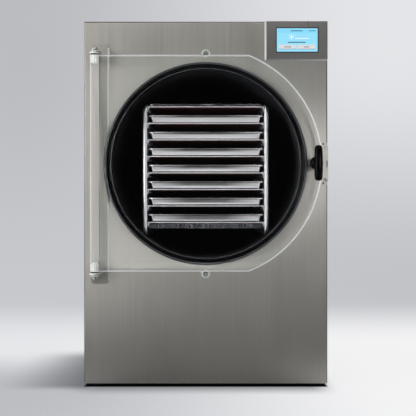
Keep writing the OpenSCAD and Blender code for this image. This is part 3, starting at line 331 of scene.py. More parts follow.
# Dipped vinyl: thick, red and shiny.
red_vinyl = moulded("vinyl_dipped_red", "#8f1512", "#a82019", 0.35, 9 * MM)
# Acetal turned on a lathe: milky white, with a soft shine.
acetal = moulded("acetal_turned_natural", "#d9d9d5", "#f4f4f1", 0.2, 3 * MM)
print("plastics:", seal_rubber.name, black_nylon.name, drum_dark.name)

# %% [markdown]
# ## Clear cast acrylic
# The door is a 25 mm slab of cast acrylic. Its two faces are clear. Its cut edges, its bevel and its bored
# holes are ground, not polished, so they scatter the light that they catch and draw a white line round the
# slab. The normal in the slab's own space tells an edge from a face. A renderer's glass would cast a solid
# shadow, so shadow rays pass through it as if it were clear air.

# %% Make the acrylic and the lit screen
def clear_slab(name, colour, frost):
    """Glass that light may also pass straight through. Frost is how much of a ground edge scatters light."""
    material, shader = finish(name, Base_Color=tone(colour), Roughness=0.0, IOR=1.49, Transmission_Weight=1.0)
    place = add(material, "TexCoord")
    facing = add(material, "SeparateXYZ", {0: place.outputs["Normal"]})
    flat = add(material, "Math", {0: facing.outputs[1]}, operation="ABSOLUTE")
    edge = add(material, "Math", {0: flat, 1: 0.97}, operation="LESS_THAN")
    for socket, on_face, on_edge in (("Transmission Weight", 1.0, 1 - frost), ("Roughness", 0.0, 0.4)):
        amount = add(material, "MapRange", {"Value": edge, "To Min": on_face, "To Max": on_edge})
        join(material, amount, shader.inputs[socket])
    path = add(material, "LightPath")
    air = add(material, "BsdfTransparent", {"Color": tone("#f4f7f7")})
    mix = add(material, "MixShader", {0: path.outputs["Is Shadow Ray"], 1: shader, 2: air})
    join(material, mix, material.node_tree.nodes["Material Output"].inputs["Surface"])
    return material


def lit(name, colour):
    """A patch of a lit display, under smooth glass."""
    return finish(name, Base_Color=tone("#0a0c10"), Roughness=0.12, Emission_Color=tone(colour),
                  Emission_Strength=1.0)[0]


door_acrylic = clear_slab("acrylic_cast_clear", "#fdfdfd", 0.9)
bumper_clear = clear_slab("polycarbonate_moulded_clear", "#f4f7f7", 0.8)
screen_blue = lit("display_lit_sky_blue", "#98e2fd")
print("clear and lit:", door_acrylic.name, bumper_clear.name, screen_blue.name)

# %% [markdown]
# ## Dressing the solids
# The CAD solids keep their shape. Each one only gets the finish that its real piece has.

# %% Give every solid its finish
shelves_and_trays = [name for name in nodes if name.startswith(("shelf_", "tray_"))]
finishes = {
    grained_steel: ["front_panel", "cabinet_cover", "rear_panel", "latch_keeper"],
    dim_steel: ["control_cover"],
    folded_steel: ["hinge_bracket"],
    bright_steel: ["rack_left_side", "rack_right_side"] + shelves_and_trays,
    polished_steel: ["hinge_pins", "hinge_bushings", "latch_shaft", "latch_cam", "rest_studs", "flange_nuts",
                     "rack_screws", "vacuum_sensor", "drain_pipe"],
    zinc_steel: ["base_pan", "front_cradle", "rear_cradle", "fan_shroud"],
    mill_aluminium: ["condenser", "fan_motor", "fan_rotor", "top_foil", "bottom_foil"],
    soft_copper: ["evaporator_coil", "refrigerant_lines"],
    turned_brass: ["drain_valve"],
    seal_rubber: ["door_gasket"],
    foot_rubber: ["feet"],
    screen_plastic: ["screen_frame"],
    black_nylon: ["door_handle", "power_inlet", "power_rocker", "pump_outlet", "heater_plug"],
    drum_dark: ["vacuum_chamber"],
    black_enamel: ["compressor"],
    board_laminate: ["control_board"],
    shell_foam: ["chamber_insulation"],
    mat_silicone: ["heater_mats"],
    red_vinyl: ["drain_lever"],
    door_acrylic: ["door_panel"],
    screen_blue: ["touch_screen"],
}
for material, names in finishes.items():
    for name in names:
        nodes[name].data.materials.clear()
        nodes[name].data.materials.append(material)
print("dressed", sum(len(names) for names in finishes.values()), "of", len(nodes), "solids")

# %% [markdown]
# ## Surfaces from grids
# Every new piece is a grid of points, worked out as one array and turned into quads. A closed skin joins its
# last column to its first, and either caps its two ends or joins them as well, as a ring does.

# %% Define meshes
def placed(name, mesh):
    """Puts a mesh into the scene, as an object at the origin."""
    obj = bpy.data.objects.new(name, mesh)
    bpy.context.collection.objects.link(obj)
    return obj


def sheet_mesh(name, points, wrap_rows=False, wrap_columns=False, caps=False):
    """A grid of points, (rows, columns, 3), as quads. A wrap joins the last row or column to the first.
    Caps close the first and last row with one flat face each."""
    rows, columns = points.shape[:2]
    index = np.arange(rows * columns).reshape(rows, columns)
    if wrap_rows:
        index = np.concatenate([index, index[:1]])
    if wrap_columns:
        index = np.concatenate([index, index[:, :1]], axis=1)
    quads = np.stack([index[:-1, :-1], index[:-1, 1:], index[1:, 1:], index[1:, :-1]], -1).reshape(-1, 4)
    faces = quads.tolist()
    if caps:
        faces += [index[0, :columns][::-1].tolist(), index[-1, :columns].tolist()]
    mesh = bpy.data.meshes.new(name)
    mesh.from_pydata(points.reshape(-1, 3).tolist(), [], faces)
    mesh.shade_smooth()
    return placed(name, mesh)


def turn_out(obj):
    """Merges doubled points and turns every face outwards."""
    work = bmesh.new()
    work.from_mesh(obj.data)
    bmesh.ops.remove_doubles(work, verts=work.verts, dist=1e-6)
    bmesh.ops.recalc_face_normals(work, faces=work.faces)
    work.to_mesh(obj.data)
    work.free()


def crease(obj, degrees):
    """Smooth shading that breaks at edges sharper than the angle."""
    obj.data.shade_smooth()
    obj.data.set_sharp_from_angle(angle=math.radians(degrees))


def closed_skin(name, points, degrees=30, ring=False):
    """A grid whose columns run round the piece, with its ends capped, or joined to each other in a ring."""
    obj = sheet_mesh(name, points, wrap_rows=ring, wrap_columns=True, caps=not ring)
    turn_out(obj)
    crease(obj, degrees)
    return obj


print("mesh helpers ready")

# %% [markdown]
# ## What makes a mesh a piece
# A mesh becomes a piece of the machine once it has a finish and a body to ride on.
# Where it stands for a plain solid, that solid is hidden, and stays behind only for collisions.

# %% Define a piece
def piece(obj, material, body="cabinet", replaces=()):
    """Gives a new piece its finish, its body and the solids that it stands for."""
    obj.data.materials.append(material)
    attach(obj, body)
    if replaces:
        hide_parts(*replaces)
    return obj


# %% [markdown]
# ## A profile carried round an outline
# Rolled rims, bevelled slabs and seals are all the same idea: a small profile, drawn as offset and height,
# is carried round an outline. `carried` does that for every point at once. The profile's sharp corners are
# rounded first, as a press brake or a mould would leave them.

# %% Define outlines and profiles
def corners(left, low, right, high):
    """The corners of an upright rectangle, as (x, z) points, so that its face looks forwards."""
    return np.array([(left, low), (right, low), (right, high), (left, high)], float)


def circle(radius, steps):
    """Points (radius cos a, radius sin a), at even angles a."""
    angle = np.linspace(0, 2 * math.pi, steps, endpoint=False)
    return radius * np.stack([np.cos(angle), np.sin(angle)], -1)


def rounded_outline(half_x, half_y, radius, steps=9):
    """Round a rectangle: in each corner a quarter turn, centre + radius * (cos a, sin a).
    Returns the points and the outward directions."""
    quarter = np.linspace(0, math.pi / 2, steps)
    angle = (quarter[None, :] + math.pi / 2 * np.arange(4)[:, None]).ravel()
    out = np.stack([np.cos(angle), np.sin(angle)], -1)
    signs = np.repeat([[1, 1], [-1, 1], [-1, -1], [1, -1]], steps, axis=0)
    return signs * (np.array([half_x, half_y]) - radius) + radius * out, out


def rounded_profile(line, radii, steps=5):
    """An open line whose corners are bent to arcs: each arc is the quadratic curve
    (1-t)^2 a + 2t(1-t) b + t^2 c between points one radius before and after the corner."""
    line = np.array(line, float)
    points = [line[:1]]
    t = np.linspace(0, 1, steps)[:, None]
    for before, here, after, radius in zip(line, line[1:], line[2:], radii):
        a = here + radius * (before - here) / np.linalg.norm(before - here)
        c = here + radius * (after - here) / np.linalg.norm(after - here)
        points.append((1 - t) ** 2 * a + 2 * t * (1 - t) * here + t ** 2 * c)
    return np.concatenate(points + [line[-1:]])


def carried(outline, out, profile):
    """Every point of a profile (offset, height) at every point of an outline: point + offset * outward."""
    plan = outline[None] + profile[:, :1, None] * out[None]
    height = np.broadcast_to(profile[:, 1:, None], plan.shape[:2] + (1,))
    return np.concatenate([plan, height], -1)


def slab(name, outline, front, back, degrees=30):
    """A flat plate: an outline of (x, z) points at y front, and again at y back."""
    grid = np.zeros((2, len(outline), 3))
    grid[..., 0], grid[..., 2] = outline[:, 0], outline[:, 1]
    grid[..., 1] = [[front], [back]]
    return closed_skin(name, grid, degrees)


print("a rounded corner has", len(rounded_outline(1, 1, 0.1)[0]) // 4, "points")

# %% [markdown]
# ## Softened edges
# No cut or machined part has knife edges: a deburred plate has a rounding of about a millimetre, and that is
# the thin line which light draws round it. The CAD solids come as loose triangles, so a copy is merged and
# its flat faces are joined before a Bevel modifier can find the real edges.

# %% Soften the plates
EDGE_DEGREES = 40


def softened(node, material, width):
    """A merged copy of a solid, with every real edge rounded to the width in metres."""
    work = bmesh.new()
    work.from_mesh(nodes[node].data)
    bmesh.ops.remove_doubles(work, verts=work.verts, dist=1e-5)
    bmesh.ops.dissolve_limit(work, angle_limit=math.radians(1), verts=work.verts, edges=work.edges)
    bmesh.ops.recalc_face_normals(work, faces=work.faces)
    mesh = bpy.data.meshes.new("softened_" + node)
    work.to_mesh(mesh)
    work.free()
    obj = placed("softened_" + node, mesh)
    rounding = obj.modifiers.new("rounding", "BEVEL")
    rounding.width = width
    rounding.segments = 3
    rounding.limit_method = "ANGLE"
    rounding.angle_limit = math.radians(EDGE_DEGREES)
    rounding.harden_normals = True
    crease(obj, EDGE_DEGREES)
    return piece(obj, material, replaces=[node])


softened("hinge_bracket", folded_steel, 1.1 * MM)
softened("latch_keeper", grained_steel, 0.4 * MM)
print("softened the hinge bracket and the keeper")

# %% [markdown]
# ## The door's seal
# The door seal is an extruded ring with a soft outer shoulder, a flat face for the door and a small bead at
# its mouth. A tab stands out on one side, to pull it off by. The ring is one profile turned round an axis
# that points at the viewer: at angle a, a profile point (r, y) lands at (x + r cos a, y, z + r sin a).

# %% Turn the seal
TAB_LENGTH, TAB_HALF_ANGLE = 1.9 * MM, math.radians(3.4)
RING_STEPS = 240


def turned(name, profile, centre, steps, swell=None):
    """A closed profile of (radius, y) points in metres, turned round the y axis through centre (x, z).
    Swell, a function of the angle, stretches the outermost radius: r + swell(a) (r / r_max)^60."""
    angle = np.linspace(0, 2 * math.pi, steps, endpoint=False)[:, None]
    r, y = np.asarray(profile).T
    radius = r + (swell(angle) * (r / r.max()) ** 60 if swell else 0 * angle)
    grid = [centre[0] + radius * np.cos(angle), y + 0 * radius, centre[1] + radius * np.sin(angle)]
    return closed_skin(name, np.stack(grid, -1), 50, ring=True)


def tab(angle):
    """TAB_LENGTH * exp(-(a / half angle)^6): flat on top, with steep sides."""
    return TAB_LENGTH * np.exp(-((np.minimum(angle, 2 * math.pi - angle) / TAB_HALF_ANGLE) ** 6))


seal_r = (gasket_hi[2] - gasket_lo[2]) / 2 / MM
seal_front, seal_back = gasket_lo[1] / MM, gasket_hi[1] / MM
# From the mouth outwards: the inner wall, the seat of the bead, a groove, the flat that the door meets, and
# the round shoulder.
seal_line = rounded_profile([(seal_r - 18.4, seal_back), (seal_r - 18.4, seal_front + 1.2),
                             (seal_r - 13.0, seal_front + 1.2), (seal_r - 12.2, seal_front + 4),
                             (seal_r - 9, seal_front), (seal_r, seal_front), (seal_r, seal_back)],
                            [3.4, 2.0, 1.0, 3.2, 9.0], 8)
bead_line = circle(1.5, 12) + [seal_r - 17.2, seal_front + 1.3]
shoulder_line = circle(3.6, 12) + [seal_r - 3.7, seal_front + 3.3]
# The bead and the shoulder are turned in the lighter rubber: a painted highlight on the seal.
for name, line, rubber, swell in (("extruded_seal", seal_line, seal_rubber, tab),
                                  ("seal_bead", bead_line, bead_rubber, None),
                                  ("seal_shoulder", shoulder_line, bead_rubber, None)):
    ring = turned(name, line * MM, (0, DRUM_Z), RING_STEPS, swell)
    piece(ring, rubber, replaces=["door_gasket"])
print("seal", round(seal_r, 1), "mm in radius")

# %% [markdown]
# ## Two clear bumpers
# A clear moulded button above the door and one below it keep a slammed door off the panel. Each is a low
# drum with a rounded rim and a small pip in its middle, turned as the seal is.

# %% Turn the bumpers
stud_lo, stud_hi = box("rest_studs")
stud_r = (stud_hi[0] - stud_lo[0]) / 2 / MM
stud_y = (stud_lo[1] - FRONT_Y) / MM
bumper_line = rounded_profile([(0.01, -0.4), (stud_r, -0.4), (stud_r, stud_y), (1.6, stud_y),
                               (1.3, stud_y - 0.8), (0.01, stud_y - 0.8)], [0.5, 3.2, 0.5, 0.4], 6)
for number, height in enumerate((stud_lo[2] + stud_r * MM, stud_hi[2] - stud_r * MM)):
    bumper = turned(f"clear_bumper_{number + 1}", bumper_line * MM + [0, FRONT_Y], (0, height), 40)
    piece(bumper, bumper_clear, replaces=["rest_studs"])
print("two bumpers", round(stud_r, 1), "mm in radius")

# %% [markdown]
# ## The hinge's bushes
# Each pin runs in a turned bush: a fluted sleeve in the door, a thin dark washer, and a collar that the
# bracket's ear rests on. A ring is a profile (r, z) turned round an upright axis: (x + r cos a, y + r sin a,
# z). The upper bush is the lower one turned upside down.

# %% Turn the bushes
FLUTES, FLUTE_DEPTH = 12, 1.3 * MM
SEAT = 22  # how far each bush reaches into the door, in mm


def upright(name, profile, centre, depth, steps=120):
    """A closed profile of (radius, z) points in metres, turned round the z axis through centre (x, y), with
    flutes of that depth in its outer wall: r - depth (1 - cos(FLUTES a)) / 2."""
    angle = np.linspace(0, 2 * math.pi, steps, endpoint=False)[:, None]
    r, z = np.asarray(profile).T
    radius = r - (r > 0.9 * r.max()) * depth * (1 - np.cos(FLUTES * angle)) / 2
    grid = [centre[0] + radius * np.cos(angle), centre[1] + radius * np.sin(angle), z + 0 * radius]
    return closed_skin(name, np.stack(grid, -1), 40, ring=True)


# Each ring's stock, its flutes, its section as (radius, height) in mm, its bends' radii and points in a bend.
bush_rings = {
    "sleeve": (acetal, FLUTE_DEPTH, [(7.6, 0), (7.6, 21.8), (10.9, 21.8), (10.9, 0)], [0.4, 1.0, 2.5], 5),
    "washer": (black_nylon, 0.0, [(7.6, 21.2), (7.6, 24.6), (10.2, 24.6), (10.2, 21.2)], [0.2, 0.6, 0.6], 4),
    "collar": (acetal, 0.0, [(7.6, 24.2), (7.6, 33), (9.0, 33), (13.2, 28.5), (13.2, 24.2)],
               [0.4, 0.6, 1.2, 1.0], 5),
}
bush_lo, bush_hi = box("hinge_bushings")
pin_at = ((bush_lo[0] + bush_hi[0]) / 2 - 1 * MM, (bush_lo[1] + bush_hi[1]) / 2)
for name, (stock, depth, section, bends, steps) in bush_rings.items():
    r, rise = rounded_profile(section + section[:1], bends, steps)[:-1].T
    for end, z in (("top", bush_hi[2] + (rise - SEAT) * MM), ("foot", bush_lo[2] - (rise - SEAT) * MM)):
        bush = upright(f"{name}_{end}", np.stack([r * MM, z], -1), pin_at, depth)
        piece(bush, stock, body="door", replaces=["hinge_bushings"])
print("bushes at", [round(float(v), 3) for v in pin_at], "and z", round(bush_lo[2], 3), round(bush_hi[2], 3))

# %% [markdown]
# ## The strip behind the hinge
# The bracket's leaf lies behind the bushes, where the clear door doesn't hide it, and a brighter strip is
# laid on it: a flat plate, a little over a millimetre thick.

# %% Lay the ground strip
plate_lo, plate_hi = box("hinge_bracket")
strip = corners(plate_lo[0] + 0.6 * MM, bush_lo[2] - 12 * MM, plate_lo[0] + 20.8 * MM, bush_hi[2] + 12 * MM)
leaf = slab("ground_hinge_strip", strip, FRONT_Y - 3.6 * MM, FRONT_Y - 2.4 * MM)
piece(leaf, leaf_steel)
print("strip", round((strip[1, 0] - strip[0, 0]) / MM, 1), "mm wide")

# %% [markdown]
# ## The handle
# The T-handle is one nylon moulding: a bar that is thickest in the middle and a domed hub. The bar is a
# superellipse, |x/a|^n + |y/b|^n = 1, carried along the height t from -1 to 1. Its half width shrinks as
# a(t) = (10.9 - 1.9 t^2) e(t) and its half depth as b(t) = (12.6 - 2.0 t^2) e(t), in mm, where
# e(t) = sqrt(1 - t^16) rounds off its ends.

# %% Mould the handle
HALF_BAR, HUB_R = 44, 16.8
BAR_BACK, BAR_DROP = 12.8, 1.5  # from the handle's foremost point, and down from the shaft, in mm


def superellipse(a, b, power, steps=48):
    """Points of |x/a|^n + |y/b|^n = 1: those of a circle, each coordinate raised to the power 2/n."""
    round_points = circle(1, steps)
    return np.sign(round_points) * np.abs(round_points) ** (2 / power) * [a, b]


handle_lo, handle_hi = box("door_handle")
shaft_x, shaft_z = (handle_lo[0] + handle_hi[0]) / 2, (handle_lo[2] + handle_hi[2]) / 2
# The heights crowd towards the ends, and stop just short of them, so that each end keeps a small face.
t = np.sin(np.linspace(-math.pi / 2, math.pi / 2, 61))[:, None] * 0.9998
ends = np.sqrt(1 - np.abs(t) ** 16) * MM
across, deep = superellipse(1, 1, 2.6).T
bar_grid = [shaft_x + across * (10.9 - 1.9 * t ** 2) * ends,
            handle_lo[1] + BAR_BACK * MM + deep * (12.6 - 2.0 * t ** 2) * ends,
            shaft_z + (HALF_BAR * t - BAR_DROP) * MM + 0 * across]
grip = closed_skin("moulded_grip", np.stack(bar_grid, -1), 50)
hub_back, hub_front = (handle_hi[1] - FRONT_Y) / MM, (handle_lo[1] - FRONT_Y) / MM + 14
hub_line = rounded_profile([(0.01, hub_back), (HUB_R, hub_back), (HUB_R, hub_back - 16), (8.0, hub_back - 19),
                            (7.5, hub_front), (0.01, hub_front)], [1.0, 9.0, 3.0, 1.0], 10)
hub = turned("moulded_hub", hub_line * MM + [0, FRONT_Y], (shaft_x - 0.6 * MM, shaft_z), 64)
for moulding in (grip, hub):
    piece(moulding, black_nylon, body="latch", replaces=["door_handle"])
print("handle bar", 2 * HALF_BAR, "mm tall round a hub", 2 * HUB_R, "mm wide")

# %% [markdown]
# ## The control cover's pressed edges
# The plate round the screen is pressed: its face sits 5 mm proud and a slope 4.5 mm wide runs down to the
# panel on its left and lower sides. The slope looks away from the dark room, and its colour is painted paler
# than the face's, a painted highlight, so it draws a pale line. The face's colour is painted darker than the
# cabinet's, a painted shade.

# %% Press the control cover
cover_lo, cover_hi = box("control_cover")
left, low, right, high = *cover_lo[[0, 2]], *cover_hi[[0, 2]]
raised = corners(left + 4.2 * MM, low + 3.4 * MM, right - 0.4 * MM, high - 0.4 * MM)
inner = np.insert(raised, 1, cover_lo[1], axis=1)
rim = np.insert(corners(left - 0.4 * MM, low - 0.6 * MM, right, high), 1, FRONT_Y - 0.5 * MM, axis=1)
face_rows = [inner + [0, 4 * MM, 0], inner]
slope_rows = [rim + [0, 0.5 * MM, 0], rim, inner + [0, 0.1 * MM, 0], inner + [0, 3.0 * MM, 0]]
for name, rows, metal in (("pressed_cover_face", face_rows, dim_steel),
                          ("pressed_cover_edge", slope_rows, slope_steel)):
    piece(closed_skin(name, np.stack(rows), 20), metal, replaces=["control_cover"])
print("cover pressed", round((FRONT_Y - cover_lo[1]) / MM, 1), "mm proud")

# %% [markdown]
# ## The keeper's screws
# Two small dark screws hold the keeper, and a thin nylon pad takes the cam.

# %% Fit the keeper's screws and pad
keeper_lo, keeper_hi = box("latch_keeper")
screw_x, pad_x = keeper_lo[0] + 10.8 * MM, keeper_hi[0] - 2.8 * MM
head_line = rounded_profile([(0.01, 0.3), (2.4, 0.3), (2.4, -1.0), (0.01, -1.3)], [0.2, 1.0], 5)
for number, height in enumerate((keeper_lo[2] + 3.2 * MM, keeper_hi[2] - 3.2 * MM)):
    screw = turned(f"keeper_screw_{number + 1}", head_line * MM + [0, keeper_lo[1]], (screw_x, height), 24)
    piece(screw, black_enamel)
pad_outline = superellipse(1.1 * MM, 9 * MM, 3, 32) + [pad_x, (keeper_lo[2] + keeper_hi[2]) / 2]
pad = slab("keeper_pad", pad_outline, keeper_lo[1] - 0.6 * MM, keeper_lo[1] + 1.0 * MM, 40)
piece(pad, black_nylon)
print("keeper from", round(keeper_lo[2], 3), "to", round(keeper_hi[2], 3), "m")

# %% [markdown]
# ## The front panel's hem
# The sheet's lower edge is folded under. The flat of the fold is a bright strip along the foot of the panel.

# %% Fold the hem
HEM_HEIGHT = 3.4 * MM
foot_z = panel_lo[2]
fold = corners(panel_lo[0] + 1.2 * MM, foot_z - 0.2 * MM, panel_hi[0] - 1.2 * MM, foot_z + HEM_HEIGHT)
hem = slab("folded_hem", fold, FRONT_Y - 0.5 * MM, FRONT_Y + 2.0 * MM)
piece(hem, grained_steel)
print("hem", round(HEM_HEIGHT / MM, 1), "mm high at", round(float(foot_z), 4), "m")

# %% [markdown]
# ## The rear panel's screws
# The rear panel comes off for service. Pan-head screws hold it along its two long edges and at the middle of
# the short ones. Each head is a shallow dome turned round the y axis.

# %% Screw on the rear panel
rear_hi = box("rear_panel")[1]
SCREW_X = rear_hi[0] - 20.2 * MM
head_line = [(0.01, -1.0), (4.2, -1.0), (4.2, 1.2), (2.6, 2.4), (1.5, 2.4), (1.2, 1.2), (0.01, 1.2)]
pan_head = rounded_profile(head_line, [0.2, 1.2, 1.2, 0.3, 0.3], 4) * MM + [0, rear_hi[1]]
spots = [(x, z) for x in (-SCREW_X, SCREW_X) for z in np.linspace(0.05, 0.89, 5)] + [(0, 0.905), (0, 0.028)]
for number, spot in enumerate(spots):
    piece(turned(f"rear_screw_{number + 1}", pan_head, spot, 20), zinc_steel)
print(len(spots), "screws on the rear panel")

# %% [markdown]
# ## The bracket's ground edge
# The hinge bracket's inner edge is ground off to a slope that runs down to the panel. It follows the plate:
# straight at the top and bottom, and bowed round the seal between them. The slope looks forwards and to the
# right, so it mirrors another part of the room than the dull plate does, and draws a line beside it. Its
# colour is also painted paler than the plate's: a painted highlight.

# %% Grind the bracket's edge
BOW_R = (seal_r + 5) * MM
EDGE_WIDTH, EDGE_DEPTH = 4.0, 3.3  # in mm
edge_z = np.linspace(plate_lo[2] + 9 * MM, plate_hi[2] - 9 * MM, 120)[:, None]
# The edge's own line: x = min(straight, -sqrt(R^2 - (z - axis)^2)). A wedge runs down to the panel from it.
edge_x = np.minimum(plate_hi[0], -np.sqrt(np.clip(BOW_R ** 2 - (edge_z - DRUM_Z) ** 2, 0, None)))
wedge = [(-0.4, -EDGE_DEPTH), (0.2, -EDGE_DEPTH), (EDGE_WIDTH, 1.3 - EDGE_DEPTH), (EDGE_WIDTH, -0.1),
         (-0.4, -0.1)]
wedge_x, wedge_y = np.array(wedge).T * MM
edge_grid = [edge_x + wedge_x, FRONT_Y + wedge_y + 0 * edge_z, edge_z + 0 * wedge_x]
piece(closed_skin("ground_bracket_edge", np.stack(edge_grid, -1)), edge_steel)
print("bracket edge from", round(plate_lo[2], 3), "to", round(plate_hi[2], 3))

# %% [markdown]
# ## Painted light and shade on the trays
# Each tray's walls get painted light and shade. At the ends, where the wall turns, they are painted white and
# made less metallic: a painted highlight. The upper middle of each long wall is painted darker, a painted
# shade, and on the lower trays this starts lower down the wall. This pattern reads a tray's own height from
# Object coordinates: the height above the lowest tray, less whole shelf spacings.

# %% Draw the wear on the trays' walls
TRAYS = 7
# Painted shade on the long walls: full within 50 mm of a tray's middle, gone from 134 mm out, and at most
# this share dark. The painted highlight on the ends lowers their metallic to the last number.
SHADED_HALF, UNSHADED_FROM = 50 * MM, 134 * MM
PAINTED_SHADE_SHARE, HIGHLIGHT_METALLIC = 0.72, 0.25


def painted_wall_light(material, low, pitch):
    """Painted shade darkens the upper middle of each long wall by share = above(z) * middle(x), and a painted
    highlight brightens its ends.
    """
    shader = material.node_tree.nodes["Principled BSDF"]
    metal = shader.inputs["Base Color"].links[0].from_socket
    place = add(material, "TexCoord")
    at = add(material, "SeparateXYZ", {0: place.outputs["Object"]})
    aside = add(material, "Math", {0: at.outputs[0]}, operation="ABSOLUTE")
    middle = add(material, "MapRange", {"Value": aside, "From Min": UNSHADED_FROM, "From Max": SHADED_HALF})
    above = add(material, "Math", {0: at.outputs[2], 1: low}, operation="SUBTRACT")
    height = add(material, "Math", {0: above, 1: pitch}, operation="MODULO")
    # The painted shade starts 3 mm up the lowest tray's wall and 13 mm up the top one's. Its edge is 4 mm
    # soft.
    start = add(material, "MapRange", {"Value": above, "From Max": (TRAYS - 1) * pitch, "To Min": 3.0 * MM,
                                       "To Max": 13.0 * MM})
    past = add(material, "Math", {0: height, 1: start}, operation="SUBTRACT")
    painted_shade = add(material, "MapRange", {"Value": past, "From Max": 4 * MM, "To Max": PAINTED_SHADE_SHARE})
    share = add(material, "Math", {0: painted_shade, 1: middle}, operation="MULTIPLY")
    # Painted highlight: where the wall turns sideways at the ends, it is painted white and made less
    # metallic, so that it takes the lamps' light.
    end = bend_mask(material, 0.2, 0.5, (0,))
    join(material, coated(material, metal, (share, "#000000"), (end, "#ffffff")), shader.inputs["Base Color"])
    satin = add(material, "MapRange", {"Value": end, "To Min": 1.0, "To Max": HIGHLIGHT_METALLIC})
    join(material, satin, shader.inputs["Metallic"])


lowest, next_up = box("tray_1")[0][2], box("tray_2")[0][2]
painted_wall_light(tray_steel, lowest, next_up - lowest)
print("trays dulled above", round(lowest, 4), "m, every", round((next_up - lowest) / MM, 1), "mm")

# %% [markdown]
# ## Seven trays
# A freeze dryer's tray is a shallow pan pressed from 1 mm stainless sheet. Its wall leans out, and its rim is
# folded out flat and then rolled down, which stiffens it and makes it safe to hold. A solid modeller's tray
# has knife-sharp rims, so each tray is made again as one closed skin: up the inside, over the rolled rim and
# down the outside. The rounded bend along the floor is what catches the bright line in its front wall.

# %% Press the trays
WALL, RIM, ROLL, LEAN, FLOOR_BEND, CORNER = 1.0, 6.0, 3.0, 4.5, 3.0, 7.0  # in mm


def tray_profile(height):
    """Inside floor, wall, rim, rolled edge and back down the outside, in metres from the body's outline."""
    inner = [(-18, WALL), (-LEAN - WALL, WALL), (-WALL, height), (RIM, height), (RIM, height - ROLL)]
    outer = [(RIM - WALL, height - ROLL), (RIM - WALL, height - WALL), (0, height - WALL), (-LEAN, 0),
             (-18, 0)]
    up = rounded_profile(inner, [FLOOR_BEND, 4.0, 1.4])
    down = rounded_profile(outer, [0.6, 4.4, FLOOR_BEND + WALL])
    return np.concatenate([up, down]) * MM


for number in range(1, TRAYS + 1):
    lo, hi = box(f"tray_{number}")
    outline, out = rounded_outline(*((hi - lo)[:2] / 2 - RIM * MM), CORNER * MM)
    grid = carried(outline, out, tray_profile((hi - lo)[2] / MM)) + [*((lo + hi)[:2] / 2), lo[2]]
    tray = closed_skin(f"pressed_tray_{number}", grid, 50)
    piece(tray, tray_steel, replaces=[f"tray_{number}"])
print("trays with", len(tray.data.polygons), "faces each")

# %% [markdown]
# ## The rack's side channels
# Each side of the rack is one strip of 1.5 mm stainless, folded to a channel: a web, and a flange turned out
# at the front and at the back. The folds are round, about 3 mm, and that is where a folded sheet shows its
# brightest line. The channel is a flat profile, walked along as one path, that rises from the drum's curved
# wall to a shoulder cut off at a slant. Solidify then gives it the sheet's thickness.

# %% Fold the rack's sides
SHEET, BEND, SHOULDER = 1.5, 3.4, 12.0  # in mm


def channel_path(web, tip, front, back, steps=7):
    """Flange, bend, web, bend, flange: straight runs joined by quarter circles of the bend's radius."""
    quarter = np.linspace(0, math.pi / 2, steps)
    near, far = BEND * (1 - np.sin(quarter)), BEND * (1 - np.cos(quarter))
    return np.concatenate([[[tip, front]], np.stack([web + near, front + far], -1),
                           np.stack([web + far, back - near], -1), [[tip, back]]])


def channel(name, node, side):
    """Height runs from the drum's circle, z = axis - sqrt(R^2 - x^2), up to the slanted shoulder."""
    lo, hi = (corner / MM for corner in box(node))
    web, tip = sorted(np.abs([lo[0], hi[0]]))
    foot = math.hypot(web, DRUM_Z / MM - lo[2])
    x, y = channel_path(web + SHEET / 2, tip, lo[1] + SHEET / 2, hi[1] - SHEET / 2).T
    low = DRUM_Z / MM - np.sqrt(foot ** 2 - x ** 2)
    high = hi[2] - SHOULDER * (x - web) / (tip - web)
    rise = np.linspace(0, 1, 24)[:, None]
    grid = [x * side + 0 * rise, y + 0 * rise, low + rise * (high - low)]
    sheet = sheet_mesh(name, np.stack(grid, -1) * MM)
    wall = sheet.modifiers.new("sheet", "SOLIDIFY")
    wall.thickness = SHEET * MM
    wall.offset = 0
    crease(sheet, 30)
    return piece(sheet, bright_steel, replaces=[node])


channel("folded_channel_left", "rack_left_side", -1)
channel("folded_channel_right", "rack_right_side", 1)
print("two channels, bent at", BEND, "mm")

# %% [markdown]
# ## Rolled shelf edges
# The front edge of each shelf is rolled over, so that nobody is cut when a tray is pulled out. A thin roll is
# a cylinder: of all the light in front of it, some always meets it at the right slope, and it shines.

# %% Roll the shelves' front edges
ROLL_R = 1.3 * MM
for number in range(1, TRAYS + 2):
    lo, hi = box(f"shelf_{number}")
    # A round bar along x: (x, y + r cos a, z + r sin a), with closed ends.
    y, z = (circle(ROLL_R, 14) + [lo[1] + 0.6 * MM, hi[2] - 1.15 * MM]).T
    ends = np.stack([np.stack([0 * y + x, y, z], -1) for x in (-hi[0], hi[0])])
    piece(closed_skin(f"rolled_edge_{number}", ends, 60), lip_steel)
print(TRAYS + 1, "rolled edges")

# %% [markdown]
# ## Crinkled foil
# The rack is wrapped above and below in an insulating blanket faced with aluminium foil. Foil that has been
# handled is a patchwork of flat facets between sharp creases. Adding up folds, each one the absolute value
# of a wave running its own way, gives just that: ridges where a wave crosses zero, flats between them.

# %% Define the crumple
WAVES, LONGEST, SHORTEST = 9, 40 * MM, 7 * MM


def crumple(points, height, seed):
    """Sum over k of |sin(w_k . p + phase_k)| * wavelength_k, from the longest to the shortest, scaled to
    height."""
    rng = np.random.default_rng(seed)
    total = np.zeros(points.shape[:-1])
    for wavelength in np.geomspace(LONGEST, SHORTEST, WAVES):
        way = rng.normal(size=3)
        way *= math.pi / wavelength / np.linalg.norm(way)
        total += np.abs(np.sin(points @ way + rng.uniform(0, math.pi))) * wavelength
    return height * (total / total.max() - 0.5)


print(WAVES, "folds, from", LONGEST / MM, "down to", round(SHORTEST / MM, 1), "mm")

